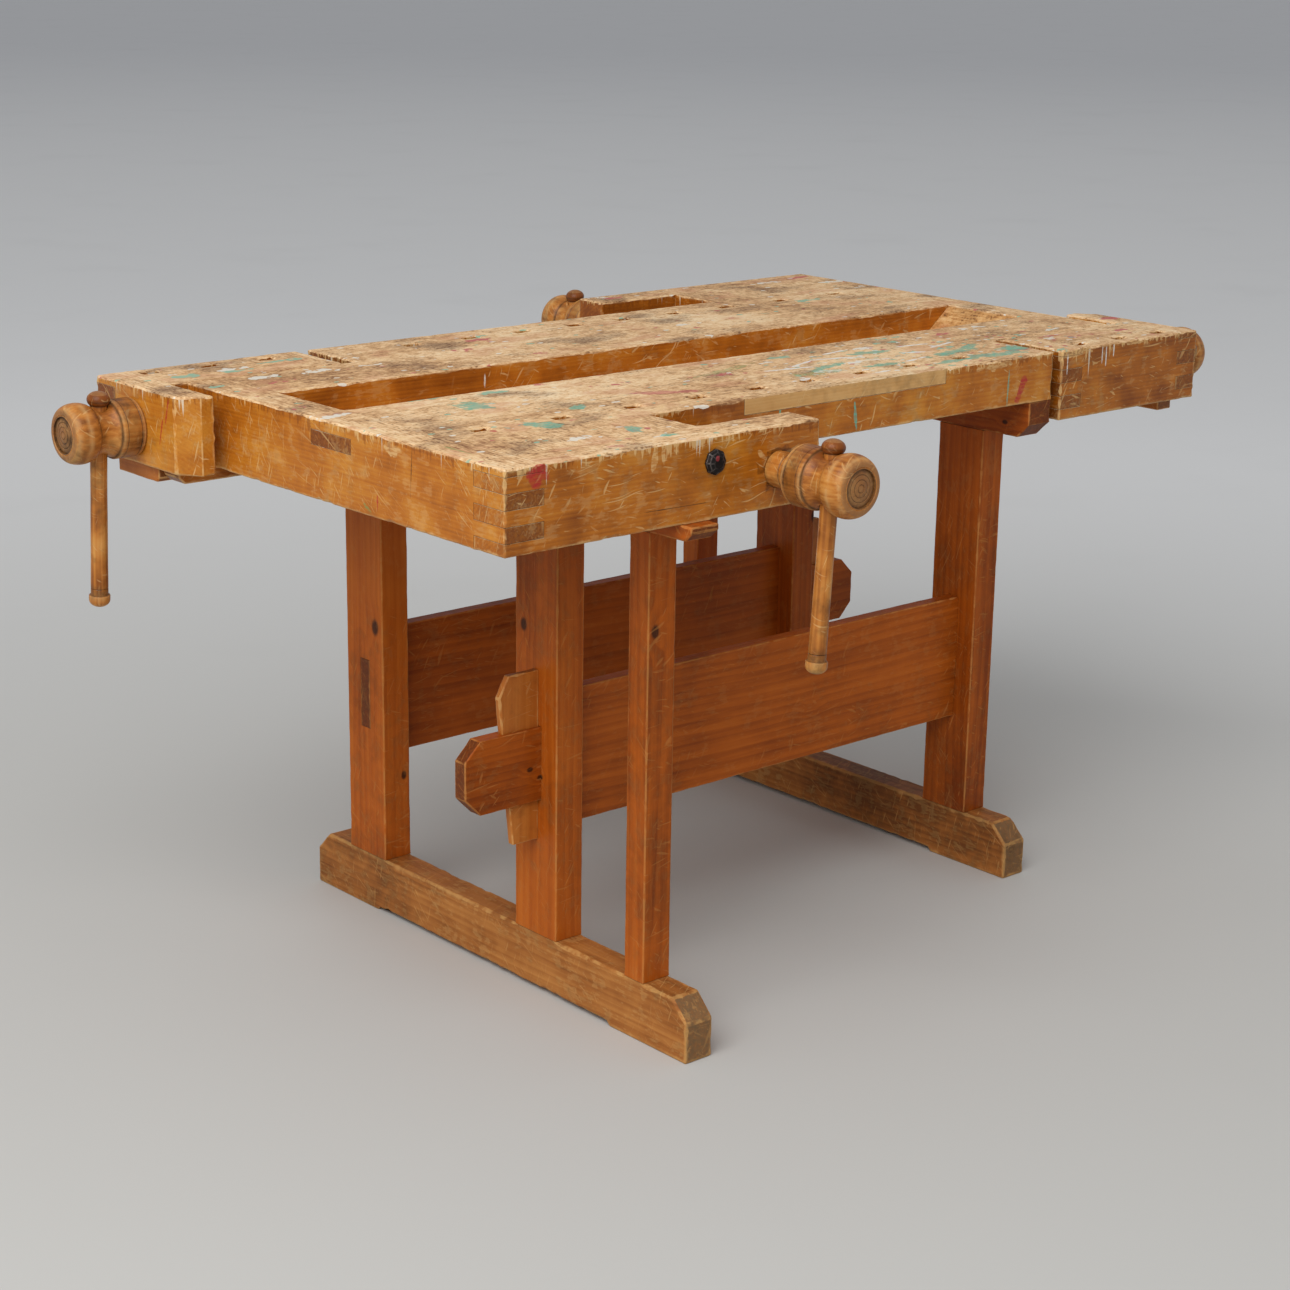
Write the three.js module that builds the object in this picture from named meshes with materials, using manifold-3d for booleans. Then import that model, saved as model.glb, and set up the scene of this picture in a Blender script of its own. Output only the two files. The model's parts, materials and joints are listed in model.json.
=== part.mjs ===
// Double-sided school workbench in millimetres, +Z up, origin on the floor below the middle of the bench.
// Two slabs lie either side of a tool tray. Each worker has a shoulder vise at the left hand and a tail
// vise at the right hand, and the top rests on two trestles tied by two wedged stretchers.
// The bench looks the same when it is turned half round, so every sided piece is made for the front
// worker and the left trestle, and once more, turned, for the back worker and the right trestle.
import * as THREE from "three";
import { mergeVertices } from "three/addons/utils/BufferGeometryUtils.js";
import Module from "manifold-3d";

const wasm = await Module();
wasm.setup();

// Clearances
const FIT = 0.3; // glue line and seat of pieces that stay together
const RUN = 0.5; // running clearance of pieces that turn or slide

// Top
const BENCH_HEIGHT = 800;
const SLAB_THICK = 69;
const RIM_DEPTH = 103; // end caps, arms and tail vises hang lower than the slabs
const HALF_LENGTH = 693; // middle of the bench to the outer face of an end cap
const HALF_SLABS = 322; // middle of the bench to the outer edge of a slab
const TRAY_WIDTH = 150;
const CAP_THICK = 57;
const TENON_NEAR = 85; // the slab's through tenon starts this far from the middle line
const TENON_WIDTH = 85;
const TENON_THICK = 19;
const TENON_DOWN = 15; // bench surface to the top of the tenon
const STUB_LENGTH = 20; // blind tenon at the slab's other end
const FLOOR_THICK = 13;
const FLOOR_DEPTH = 49; // tray depth below the bench surface
const FLOOR_GROOVE = 9; // how far the tray floor is let into the slabs
const RAMP_RUN = 55;
const RAMP_DROP = 2; // ramp top below the bench surface
const RAMP_TOE = 2;

// Dog holes
const DOG_STRIP_WIDTH = 74;
const DOG_LENGTH = 28;
const DOG_WIDTH = 18;
const DOG_IN = 50; // slab edge to the middle of the row
const DOG_STEPS = [145, 105, 96, 101, 95, 104, 110, 119, 126]; // from the slab end, hole to hole
const DOG_END_MARGIN = 40;

// Repair let into the top arris of the front slab
const REPAIR_START = -184;
const REPAIR_LENGTH = 382;
const REPAIR_HEIGHT = 21;
const REPAIR_DEPTH = 11;

// Finger joints: the top finger is what years of planing have left of a full one
const TOP_FINGER = 9.5;
const FINGER = 19.3;

// Shoulder vise
const ARM_THICK = 57;
const ARM_LENGTH = 497;
const VISE_GAP = 92;
const SPACER_CLEAR = 21; // end of the pad to the end of the spacer
const TIE_IN = 22; // tie screw in from the end of the spacer
const TIE_DOWN = 32;
const TIE_RADIUS = 6;
const TIE_HEAD_RADIUS = 16.5;
const TIE_HEAD_HEIGHT = 9;
const TIE_BITE = 20; // length of the tie screw in the slab plank
const SHOULDER_SCREW_IN = 69; // end of the arm to the screw
const SHOULDER_OUT = 41; // the screw's head stands this far off the arm
const SHOULDER_CLOSING = 40; // pad face to slab edge
const PAD_THICK = 28;
const PAD_LENGTH = 130;
const PAD_HEIGHT = 67;
const PAD_DOWN = 28; // pad top below the bench surface
const PAD_CHAMFER = 6;
const NOSE_RADIUS = 14;
const NOSE_LENGTH = 16;
const SHOULDER_BAR_TILT = 3.5; // degrees by which the bar hangs out of plumb

// Tail vise
const TAIL_LENGTH = 314; // jaw face to the outer face of the head
const TAIL_WIDTH = 117;
const TAIL_SLIDE = 2; // side gap between the tail vise and the slab
const JAW_GAP = 20;
const JAW_THICK = 46;
const TAIL_BOARD = 48;
const TAIL_COVER = 22;
const TAIL_DOG_IN = 26; // slab edge to the middle of the row
const TAIL_DOG_FIRST = 67;
const TAIL_DOG_PITCH = 90;
const HEAD_GAP = 22; // end cap to the inner face of the head
const HEAD_THICK = 44.5;
const HEAD_LENGTH = 220;
const HEAD_CHAMFER = 25;
const TAIL_SCREW_IN = 90; // slab edge to the screw
const BACK_BAR_TILT = 4.3; // degrees by which the back bar hangs out of plumb
const FRONT_BAR_TILT = 72; // the front bar was left leaning with its foot behind the vise
const TAIL_SCREW_REACH = 260; // outer face of the head to the tip of the screw
const NUT_RAISED = 3; // nut bottom above the bottom of the end cap
const TONGUE_LENGTH = 20; // nut let into the end cap
const TONGUE_WIDTH = 24;
const TONGUE_HEIGHT = 40;
const KEY_THICK = 10;
const KEY_WIDTH = 60;
const KEY_IN = 18; // outer face of the head to the key
const GROOVE_DEPTH = 5;
const RUNNER_BESIDE = 22; // inner side of the tail vise to the runner
const RUNNER_WIDTH = 38;
const RUNNER_THICK = 17;
const RUNNER_LENGTH = 290;
const RUNNER_BACK = 15; // nose of the runner behind the outer face of the head
const RUNNER_NOSE = 9;
const CLEAT_CLEAR = 4;
const CLEAT_BACK = 10;
const CLEAT_WIDTH = 32;
const CLEAT_LENGTH = 103;
const CLEAT_THICK = 21;
const CLEAT_CHAMFER = 6;

// Screws, bars and knobs
const SCREW_DOWN = 55; // bench surface to the screws
const SCREW_RADIUS = 23;
const SCREW_CHAMFER = 3;
const BARREL_RADIUS = 39;
const BARREL_LENGTH = 36;
const BARREL_ROUND = 3;
const COVE_LENGTH = 28;
const COVE_START_RADIUS = 36;
const COVE_END_RADIUS = 34;
const WAIST_RADIUS = 30;
const BEAD_LENGTH = 40;
const BEAD_RADIUS = 40;
const BEAD_START = Math.PI / 3; // the bead's ellipse begins this far below its widest point
const END_RADIUS = 28;
const END_RING = 4;
const END_RECESS = 2.5;
const BAR_RADIUS = 11.5;
const BAR_DROP = 240; // screw axis to the lowest point of the bar
const BAR_FOOT_LIP = 2.5; // turned foot beyond the bar
const BAR_FOOT_DOME = 10;
const BAR_FOOT_COLLAR = 7;
const KNOB_LIP = 3.5; // loose knob beyond the bar
const KNOB_HALF = 11;
const KNOB_SEAT_LIP = 0.1; // seat of the knob beyond the bar
const PIN_RADIUS = 7; // end of the bar that is glued into the loose knob
const PIN_LENGTH = 11;

// Trestles
const TRESTLE_SETBACK = 1; // slab end at the tail vise to the outer face of the trestle, clear of the jaw
const TRESTLE_THICK = 45;
const FOOT_HEIGHT = 82;
const FOOT_CHAMFER = 28;
const FOOT_BEYOND = 27; // foot beyond the face of the arm
const FOOT_PAD = 150;
const FOOT_RELIEF = 6;
const POST_WIDTH = 86;
const POST_IN = 128; // slab edge to the middle of a post
const VISE_POST_WIDTH = 37;
const RAIL_HEIGHT = 54;
const RAIL_CHAMFER = 21;
const RAIL_NOSE_OUT = 18; // rail beyond the face of the arm
const RAIL_NOSE_CHAMFER = 12;
const POST_TENON_THICK = 15;
const POST_TENON_SHOULDER = 6;
const POST_TENON_LOW = 45; // into the foot
const POST_TENON_HIGH = 28; // into the rail

// Stretchers
const STRETCHER_LOW = 231;
const STRETCHER_HEIGHT = 187;
const STRETCHER_THICK = 22;
const TUSK_HEIGHT = 101;
const TUSK_OUT = 125;
const TUSK_CHAMFER = 25;
const WEDGE_THICK = 10;
const WEDGE_ABOVE = 77; // wedge above the tusk tenon
const WEDGE_BELOW = 56;
const WEDGE_TOP = 65;
const WEDGE_FOOT = 42;
const WEDGE_CHAMFER = 16;
const WEDGE_CHAMFER_RISE = 28;
const WEDGE_DRAW = 6; // the wedge's hole starts this far inside the post

// Facets of round pieces, and how far a cutter runs past the faces that it cuts
const HEAD_FACETS = 24;
const BAR_FACETS = 16;
const CURVE_STEPS = 3;
const PAST = 5;
const MERGE = 1e-4;

// Levels and faces worked out from the sizes above, as distances from the middle of the bench
const slabLow = BENCH_HEIGHT - SLAB_THICK;
const rimLow = BENCH_HEIGHT - RIM_DEPTH;
const capInner = HALF_LENGTH - CAP_THICK;
const trayHalf = TRAY_WIDTH / 2;
const stripInner = HALF_SLABS - DOG_STRIP_WIDTH;
const tenonTop = BENCH_HEIGHT - TENON_DOWN;
const tenonLow = tenonTop - TENON_THICK;
const tenonFar = TENON_NEAR + TENON_WIDTH;
const floorTop = BENCH_HEIGHT - FLOOR_DEPTH;
const floorLow = floorTop - FLOOR_THICK;
const armInner = HALF_SLABS + VISE_GAP;
const armOuter = armInner + ARM_THICK;
const armEnd = HALF_LENGTH - ARM_LENGTH;
const tieZ = BENCH_HEIGHT - TIE_DOWN;
const tieTip = stripInner - TIE_BITE;
const screwZ = BENCH_HEIGHT - SCREW_DOWN;
const shoulderX = armEnd + SHOULDER_SCREW_IN;
const spacerEnd = shoulderX + PAD_LENGTH / 2 + SPACER_CLEAR;
const tieX = spacerEnd + TIE_IN;
const shoulderBase = armOuter + SHOULDER_OUT;
const padFace = HALF_SLABS + SHOULDER_CLOSING;
const padBack = padFace + PAD_THICK;
const headInner = HALF_LENGTH + HEAD_GAP;
const headOuter = headInner + HEAD_THICK;
const jawFace = headOuter - TAIL_LENGTH;
const jawInner = jawFace + JAW_THICK;
const slabEnd = jawFace - JAW_GAP;
const tailInner = HALF_SLABS - TAIL_WIDTH;
const notchEdge = tailInner - TAIL_SLIDE;
const boardInner = HALF_SLABS - TAIL_BOARD;
const coverLow = BENCH_HEIGHT - TAIL_COVER;
const tailScrewY = HALF_SLABS - TAIL_SCREW_IN;
const runnerFar = tailInner - RUNNER_BESIDE;
const runnerNear = runnerFar - RUNNER_WIDTH;
const keyOuter = headOuter - KEY_IN;
const keyInner = keyOuter - KEY_THICK;
const trestleOut = slabEnd - TRESTLE_SETBACK;
const trestleIn = trestleOut - TRESTLE_THICK;
const trestleMiddle = trestleOut - TRESTLE_THICK / 2;
const railLow = slabLow - RAIL_HEIGHT;
const postY = HALF_SLABS - POST_IN;
const footReach = armOuter + FOOT_BEYOND;
const stretcherTop = STRETCHER_LOW + STRETCHER_HEIGHT;
const tuskLow = STRETCHER_LOW + (STRETCHER_HEIGHT - TUSK_HEIGHT) / 2;
const tuskTop = tuskLow + TUSK_HEIGHT;
const wedgeLow = tuskLow - WEDGE_BELOW;
const wedgeTop = tuskTop + WEDGE_ABOVE;
const waistAt = BARREL_LENGTH + COVE_LENGTH / 2;
const beadAt = BARREL_LENGTH + COVE_LENGTH;
const barHole = BAR_RADIUS + RUN;
const barFootRadius = BAR_RADIUS + BAR_FOOT_LIP;
const knobRadius = BAR_RADIUS + KNOB_LIP;

// Solids from geometry classes, and the way back to a geometry
function solidOf(geometry) {
  const bare = geometry.clone();
  bare.deleteAttribute("normal");
  bare.deleteAttribute("uv");
  const merged = mergeVertices(bare, MERGE);
  const corners = merged.index.array;
  const kept = [];
  for (let i = 0; i < corners.length; i += 3) {
    const [a, b, c] = corners.slice(i, i + 3);
    if (a !== b && b !== c && c !== a) {
      kept.push(a, b, c);
    }
  }
  return new wasm.Manifold(
    new wasm.Mesh({
      numProp: 3,
      vertProperties: merged.attributes.position.array,
      triVerts: new Uint32Array(kept),
    }),
  );
}

function geometryOf(solid) {
  const made = solid.getMesh();
  const geometry = new THREE.BufferGeometry();
  geometry.setAttribute("position", new THREE.BufferAttribute(made.vertProperties.slice(), 3));
  geometry.setIndex(new THREE.BufferAttribute(made.triVerts.slice(), 1));
  geometry.computeVertexNormals();
  return geometry;
}

// A board between two faces on each axis
function board({ x, y, z }) {
  const geometry = new THREE.BoxGeometry(x[1] - x[0], y[1] - y[0], z[1] - z[0]);
  geometry.translate((x[0] + x[1]) / 2, (y[0] + y[1]) / 2, (z[0] + z[1]) / 2);
  return solidOf(geometry);
}

// Where an outline's first axis, its second axis and its thickness point in the bench
const AXIS = {
  x: new THREE.Vector3(1, 0, 0),
  y: new THREE.Vector3(0, 1, 0),
  z: new THREE.Vector3(0, 0, 1),
};
const PLANES = {
  xy: [AXIS.x, AXIS.y, AXIS.z],
  xz: [AXIS.x, AXIS.z, AXIS.y.clone().negate()],
  yz: [AXIS.y, AXIS.z, AXIS.x],
};

// A plate cut to an outline of corner points in one plane, between two faces across that plane
function plate(plane, outline, [from, to]) {
  const shape = new THREE.Shape(outline.map(([u, v]) => new THREE.Vector2(u, v)));
  const geometry = new THREE.ExtrudeGeometry(shape, { depth: to - from, bevelEnabled: false });
  const [first, second, across] = PLANES[plane];
  geometry.applyMatrix4(new THREE.Matrix4().makeBasis(first, second, across));
  const lift = plane === "xz" ? -to : from;
  geometry.translate(across.x * lift, across.y * lift, across.z * lift);
  return solidOf(geometry);
}

// A turned piece: its path runs from axis to axis as radius and height, along a direction from a point
function turned(path, facets, origin, direction) {
  const geometry = new THREE.LatheGeometry(path.getPoints(CURVE_STEPS), facets);
  geometry.applyQuaternion(new THREE.Quaternion().setFromUnitVectors(AXIS.y, direction));
  geometry.translate(origin.x, origin.y, origin.z);
  return solidOf(geometry);
}

// A round rod or drill between two points
function rod(radius, start, end, facets = HEAD_FACETS) {
  const path = new THREE.Path();
  path.moveTo(0, 0);
  path.lineTo(radius, 0);
  path.lineTo(radius, start.distanceTo(end));
  path.lineTo(0, start.distanceTo(end));
  return turned(path, facets, start, end.clone().sub(start).normalize());
}

function point(x, y, z) {
  return new THREE.Vector3(x, y, z);
}

// Heights of every other finger at a corner: turn 0 has the top finger, turn 1 the one below it
function fingerBands(turn) {
  const bands = [];
  let top = BENCH_HEIGHT;
  let low = BENCH_HEIGHT - TOP_FINGER;
  for (let i = 0; top > rimLow; i += 1) {
    if (i % 2 === turn) {
      bands.push([low, top]);
    }
    top = low;
    low = Math.max(rimLow, low - FINGER);
  }
  return bands;
}

// Room in a board for the other board's fingers
function withoutFingers(solid, turn, x, y) {
  let left = solid;
  for (const [low, top] of fingerBands(turn)) {
    const z = [
      low === rimLow ? low - PAST : low - FIT / 2,
      top === BENCH_HEIGHT ? top + PAST : top + FIT / 2,
    ];
    left = left.subtract(board({ x, y, z }));
  }
  return left;
}

// Middles of a row of holes, from the first one towards a limit
function rowOf(first, pitch, limit) {
  const middles = [];
  const step = Math.sign(limit - first) * pitch;
  for (let at = first; (limit - at) * step > 0; at += step) {
    middles.push(at);
  }
  return middles;
}

function withDogHoles(solid, middles, inset) {
  let left = solid;
  for (const at of middles) {
    const hole = board({
      x: [at - DOG_LENGTH / 2, at + DOG_LENGTH / 2],
      y: [-HALF_SLABS + inset - DOG_WIDTH / 2, -HALF_SLABS + inset + DOG_WIDTH / 2],
      z: [rimLow - PAST, BENCH_HEIGHT + PAST],
    });
    left = left.subtract(hole);
  }
  return left;
}

const rimHeight = [rimLow, BENCH_HEIGHT];
const slabHeight = [slabLow, BENCH_HEIGHT];

// Left end cap, finger-jointed to the front arm, mortised for both slabs and for the back tail vise's nut
function endCap() {
  const middle = -(capInner + CAP_THICK / 2);
  const tenonHole = { y: [-tenonFar - FIT, -TENON_NEAR + FIT], z: [tenonLow - FIT, tenonTop + FIT] };
  const stubHole = { y: [TENON_NEAR - FIT, tenonFar + FIT], z: tenonHole.z };
  const cap = board({ x: [-HALF_LENGTH, -capInner], y: [-armOuter, notchEdge], z: rimHeight });
  const through = [-HALF_LENGTH - PAST, -capInner + PAST];
  return withoutFingers(cap, 1, through, [-armOuter - PAST, -armInner + FIT])
    .subtract(board({ x: through, ...tenonHole }))
    .subtract(board({ x: [-capInner - STUB_LENGTH - FIT, -capInner + PAST], ...stubHole }))
    .subtract(
      board({
        x: [middle - TONGUE_WIDTH / 2 - FIT, middle + TONGUE_WIDTH / 2 + FIT],
        y: [notchEdge - TONGUE_LENGTH - FIT, notchEdge + PAST],
        z: [screwZ - TONGUE_HEIGHT / 2 - FIT, screwZ + TONGUE_HEIGHT / 2 + FIT],
      }),
    );
}

function tieHole(from, to) {
  return rod(TIE_RADIUS + FIT, point(-tieX, -from, tieZ), point(-tieX, -to, tieZ), BAR_FACETS);
}

// Front slab: a plank notched for the tail vise, and the strip outside it that holds the dog holes
function plank() {
  const outline = [
    [-capInner + FIT, -stripInner],
    [slabEnd, -stripInner],
    [slabEnd, -notchEdge],
    [capInner - FIT, -notchEdge],
    [capInner - FIT, -trayHalf],
    [-capInner + FIT, -trayHalf],
  ];
  const tenon = { y: [-tenonFar, -TENON_NEAR], z: [tenonLow, tenonTop] };
  return plate("xy", outline, slabHeight)
    .add(board({ x: [-HALF_LENGTH, 0], ...tenon }))
    .add(board({ x: [0, capInner + STUB_LENGTH], ...tenon }))
    .subtract(
      board({
        x: [-HALF_LENGTH, HALF_LENGTH],
        y: [-trayHalf - FLOOR_GROOVE, -trayHalf + PAST],
        z: [floorLow - FIT, floorTop + FIT],
      }),
    )
    .subtract(tieHole(stripInner + PAST, tieTip - FIT));
}

function repairRoom(gap) {
  return board({
    x: [REPAIR_START - gap, REPAIR_START + REPAIR_LENGTH + gap],
    y: [-HALF_SLABS - (gap > 0 ? PAST : 0), -HALF_SLABS + REPAIR_DEPTH + gap],
    z: [BENCH_HEIGHT - REPAIR_HEIGHT - gap, BENCH_HEIGHT + (gap > 0 ? PAST : 0)],
  });
}

function dogStrip() {
  const strip = board({
    x: [-capInner + FIT, slabEnd],
    y: [-HALF_SLABS, -stripInner - FIT],
    z: slabHeight,
  });
  const middles = [];
  let at = slabEnd;
  for (const step of DOG_STEPS) {
    at -= step;
    if (at > -capInner + DOG_END_MARGIN) {
      middles.push(at);
    }
  }
  return withDogHoles(strip, middles, DOG_IN).subtract(tieHole(HALF_SLABS + PAST, stripInner - PAST));
}

function trayFloor() {
  const reach = trayHalf + FLOOR_GROOVE - FIT;
  return board({ x: [-capInner + FIT, capInner - FIT], y: [-reach, reach], z: [floorLow, floorTop] });
}

// Sweeping-out ramp at the left end of the tray
function trayRamp() {
  const end = -capInner + FIT;
  const outline = [
    [end, floorTop + FIT],
    [end + RAMP_RUN, floorTop + FIT],
    [end + RAMP_RUN, floorTop + FIT + RAMP_TOE],
    [end, BENCH_HEIGHT - RAMP_DROP],
  ];
  return plate("xz", outline, [-trayHalf + FIT, trayHalf - FIT]);
}

// Arm of the front shoulder vise, with the threaded hole that is the screw's nut
function shoulderArm() {
  const arm = board({ x: [-HALF_LENGTH, -armEnd], y: [-armOuter, -armInner], z: rimHeight });
  const corner = [-HALF_LENGTH - PAST, -capInner + FIT];
  const drill = rod(
    SCREW_RADIUS + RUN,
    point(-shoulderX, -armOuter - PAST, screwZ),
    point(-shoulderX, -armInner + PAST, screwZ),
  );
  return withoutFingers(arm, 0, corner, [-armOuter - PAST, -armInner + PAST])
    .subtract(drill)
    .subtract(tieHole(armOuter + PAST, armInner - PAST));
}

function shoulderSpacer() {
  return board({
    x: [-capInner + FIT, -spacerEnd],
    y: [-armInner + FIT, -HALF_SLABS - FIT],
    z: slabHeight,
  }).subtract(tieHole(armInner + PAST, HALF_SLABS - PAST));
}

// Iron tie screw with a domed head, driven through the arm and the spacer into the slab
function tieScrew() {
  const length = armOuter - tieTip;
  const path = new THREE.Path();
  path.moveTo(0, -length);
  path.lineTo(TIE_RADIUS, -length);
  path.lineTo(TIE_RADIUS, FIT);
  path.lineTo(TIE_HEAD_RADIUS, FIT);
  path.absellipse(0, FIT, TIE_HEAD_RADIUS, TIE_HEAD_HEIGHT, 0, Math.PI / 2);
  return turned(path, BAR_FACETS, point(-tieX, -armOuter, tieZ), AXIS.y.clone().negate());
}

// Radius of a screw head's cove at a distance from the base of the barrel
function coveRadius(at) {
  const t = (at - BARREL_LENGTH) / COVE_LENGTH;
  return (1 - t) ** 2 * COVE_START_RADIUS + 2 * t * (1 - t) * coveControl + t ** 2 * COVE_END_RADIUS;
}

const coveControl = 2 * WAIST_RADIUS - (COVE_START_RADIUS + COVE_END_RADIUS) / 2;
const knobSeat = Math.max(coveRadius(waistAt - barHole), coveRadius(waistAt + barHole)) + FIT;

// Turned head from the barrel's base outwards: barrel, cove for the bar, bead and ringed end
function addHead(path) {
  const beadCore = END_RADIUS + 1;
  const beadHalf = BEAD_LENGTH / 2;
  const beadMiddle = beadAt + beadHalf * Math.sin(BEAD_START);
  const end = beadMiddle + beadHalf;
  const recess = END_RADIUS - END_RING;
  path.lineTo(BARREL_RADIUS - BARREL_ROUND, 0);
  path.lineTo(BARREL_RADIUS, BARREL_ROUND);
  path.lineTo(BARREL_RADIUS, BARREL_LENGTH - BARREL_ROUND);
  path.lineTo(COVE_START_RADIUS, BARREL_LENGTH);
  path.quadraticCurveTo(coveControl, waistAt, COVE_END_RADIUS, beadAt);
  path.absellipse(beadCore, beadMiddle, BEAD_RADIUS - beadCore, beadHalf, -BEAD_START, Math.PI / 2);
  path.lineTo(recess, end);
  path.lineTo(recess, end - END_RECESS);
  path.quadraticCurveTo(recess / 2, end, 0, end);
}

// A screw with its head: the base of the barrel is at the origin and the head points along outward
function viseScrew(path, origin, outward, up) {
  addHead(path);
  const middle = origin.clone().addScaledVector(outward, waistAt);
  const hole = rod(
    barHole,
    middle.clone().addScaledVector(up, -BEAD_RADIUS - PAST),
    middle.clone().addScaledVector(up, BEAD_RADIUS + PAST),
    BAR_FACETS,
  );
  return turned(path, HEAD_FACETS, origin, outward).subtract(hole);
}

// Tommy bar that hangs through a screw's waist, with a turned foot and a pin for the loose knob
function tommyBar(middle, up) {
  const path = new THREE.Path();
  path.moveTo(0, -BAR_DROP);
  path.absellipse(0, BAR_FOOT_DOME - BAR_DROP, barFootRadius, BAR_FOOT_DOME, -Math.PI / 2, 0);
  path.lineTo(barFootRadius, BAR_FOOT_DOME + BAR_FOOT_COLLAR - BAR_DROP);
  path.lineTo(BAR_RADIUS, BAR_FOOT_DOME + BAR_FOOT_COLLAR - BAR_DROP);
  path.lineTo(BAR_RADIUS, knobSeat - FIT);
  path.lineTo(PIN_RADIUS, knobSeat - FIT);
  path.lineTo(PIN_RADIUS, knobSeat + PIN_LENGTH - FIT);
  path.lineTo(0, knobSeat + PIN_LENGTH - FIT);
  return turned(path, BAR_FACETS, middle, up);
}

// Loose knob that stops the bar on the rim of its hole
function barKnob(middle, up) {
  const seatAngle = Math.acos((BAR_RADIUS + KNOB_SEAT_LIP) / knobRadius);
  const path = new THREE.Path();
  const widest = knobSeat + KNOB_HALF * Math.sin(seatAngle);
  path.moveTo(0, knobSeat + PIN_LENGTH);
  path.lineTo(PIN_RADIUS + FIT, knobSeat + PIN_LENGTH);
  path.lineTo(PIN_RADIUS + FIT, knobSeat);
  path.absellipse(0, widest, knobRadius, KNOB_HALF, -seatAngle, Math.PI / 2);
  return turned(path, BAR_FACETS, middle, up);
}

// Front shoulder vise: pad, screw, bar and knob
const shoulderOrigin = point(-shoulderX, -shoulderBase, screwZ);
const shoulderOut = AXIS.y.clone().negate();
const shoulderUp = AXIS.z.clone().applyAxisAngle(AXIS.y, THREE.MathUtils.degToRad(SHOULDER_BAR_TILT));
const shoulderWaist = shoulderOrigin.clone().addScaledVector(shoulderOut, waistAt);

function shoulderPad() {
  const left = -shoulderX - PAD_LENGTH / 2;
  const right = left + PAD_LENGTH;
  const top = BENCH_HEIGHT - PAD_DOWN;
  const low = top - PAD_HEIGHT;
  const outline = [
    [left, low],
    [right, low],
    [right, top - PAD_CHAMFER],
    [right - PAD_CHAMFER, top],
    [left + PAD_CHAMFER, top],
    [left, top - PAD_CHAMFER],
  ];
  const socket = rod(
    NOSE_RADIUS + RUN,
    point(-shoulderX, -padBack - PAST, screwZ),
    point(-shoulderX, -padBack + NOSE_LENGTH + RUN, screwZ),
  );
  return plate("xz", outline, [-padBack, -padFace]).subtract(socket);
}

function shoulderScrew() {
  const shoulder = padBack + RUN - shoulderBase;
  const tip = padBack - NOSE_LENGTH - shoulderBase;
  const path = new THREE.Path();
  path.moveTo(0, tip);
  path.lineTo(NOSE_RADIUS - SCREW_CHAMFER, tip);
  path.lineTo(NOSE_RADIUS, tip + SCREW_CHAMFER);
  path.lineTo(NOSE_RADIUS, shoulder);
  path.lineTo(SCREW_RADIUS, shoulder);
  path.lineTo(SCREW_RADIUS, 0);
  return viseScrew(path, shoulderOrigin, shoulderOut, shoulderUp);
}

// Front tail vise: a finger-jointed box that slides round the nut on the end cap
const tailOrigin = point(headOuter + FIT, -tailScrewY, screwZ);
const hangingUp = AXIS.z.clone().applyAxisAngle(AXIS.x, -THREE.MathUtils.degToRad(BACK_BAR_TILT));
const leaningUp = AXIS.z.clone().applyAxisAngle(AXIS.x, THREE.MathUtils.degToRad(FRONT_BAR_TILT));
const tailWaist = tailOrigin.clone().addScaledVector(AXIS.x, waistAt);

function tailScrewDrill(from, to, radius) {
  return rod(radius, point(from, -tailScrewY, screwZ), point(to, -tailScrewY, screwZ));
}

function tailBoard() {
  const whole = board({ x: [jawFace, headOuter], y: [-HALF_SLABS, -boardInner], z: rimHeight });
  const across = [-HALF_SLABS - PAST, -boardInner + PAST];
  const jawCut = withoutFingers(whole, 0, [jawFace - PAST, jawInner + FIT], across);
  const bothCut = withoutFingers(jawCut, 0, [headInner - FIT, headOuter + PAST], across);
  const middles = rowOf(jawFace + TAIL_DOG_FIRST, TAIL_DOG_PITCH, headInner - DOG_LENGTH / 2);
  return withDogHoles(bothCut, middles, TAIL_DOG_IN);
}

const tailFingers = [-HALF_SLABS - PAST, -boardInner + FIT];

function tailJaw() {
  const jaw = board({ x: [jawFace, jawInner], y: [-HALF_SLABS, -tailInner], z: rimHeight });
  return withoutFingers(jaw, 1, [jawFace - PAST, jawInner + PAST], tailFingers);
}

function tailHead() {
  const end = -HALF_SLABS + HEAD_LENGTH;
  const outline = [
    [headInner, -HALF_SLABS],
    [headOuter, -HALF_SLABS],
    [headOuter, end - HEAD_CHAMFER],
    [headOuter - HEAD_CHAMFER, end],
    [headInner, end],
  ];
  const keySlot = board({
    x: [keyInner - FIT, keyOuter + FIT],
    y: [-tailScrewY - KEY_WIDTH / 2 - FIT, -tailScrewY + KEY_WIDTH / 2 + FIT],
    z: [rimLow - PAST, screwZ + FIT],
  });
  return withoutFingers(plate("xy", outline, rimHeight), 1, [headInner - PAST, headOuter + PAST], tailFingers)
    .subtract(tailScrewDrill(headInner - PAST, headOuter + PAST, SCREW_RADIUS + RUN))
    .subtract(keySlot);
}

function tailCover() {
  return board({
    x: [jawInner + FIT, headInner - FIT],
    y: [-boardInner + FIT, -tailInner],
    z: [coverLow, BENCH_HEIGHT],
  });
}

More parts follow.
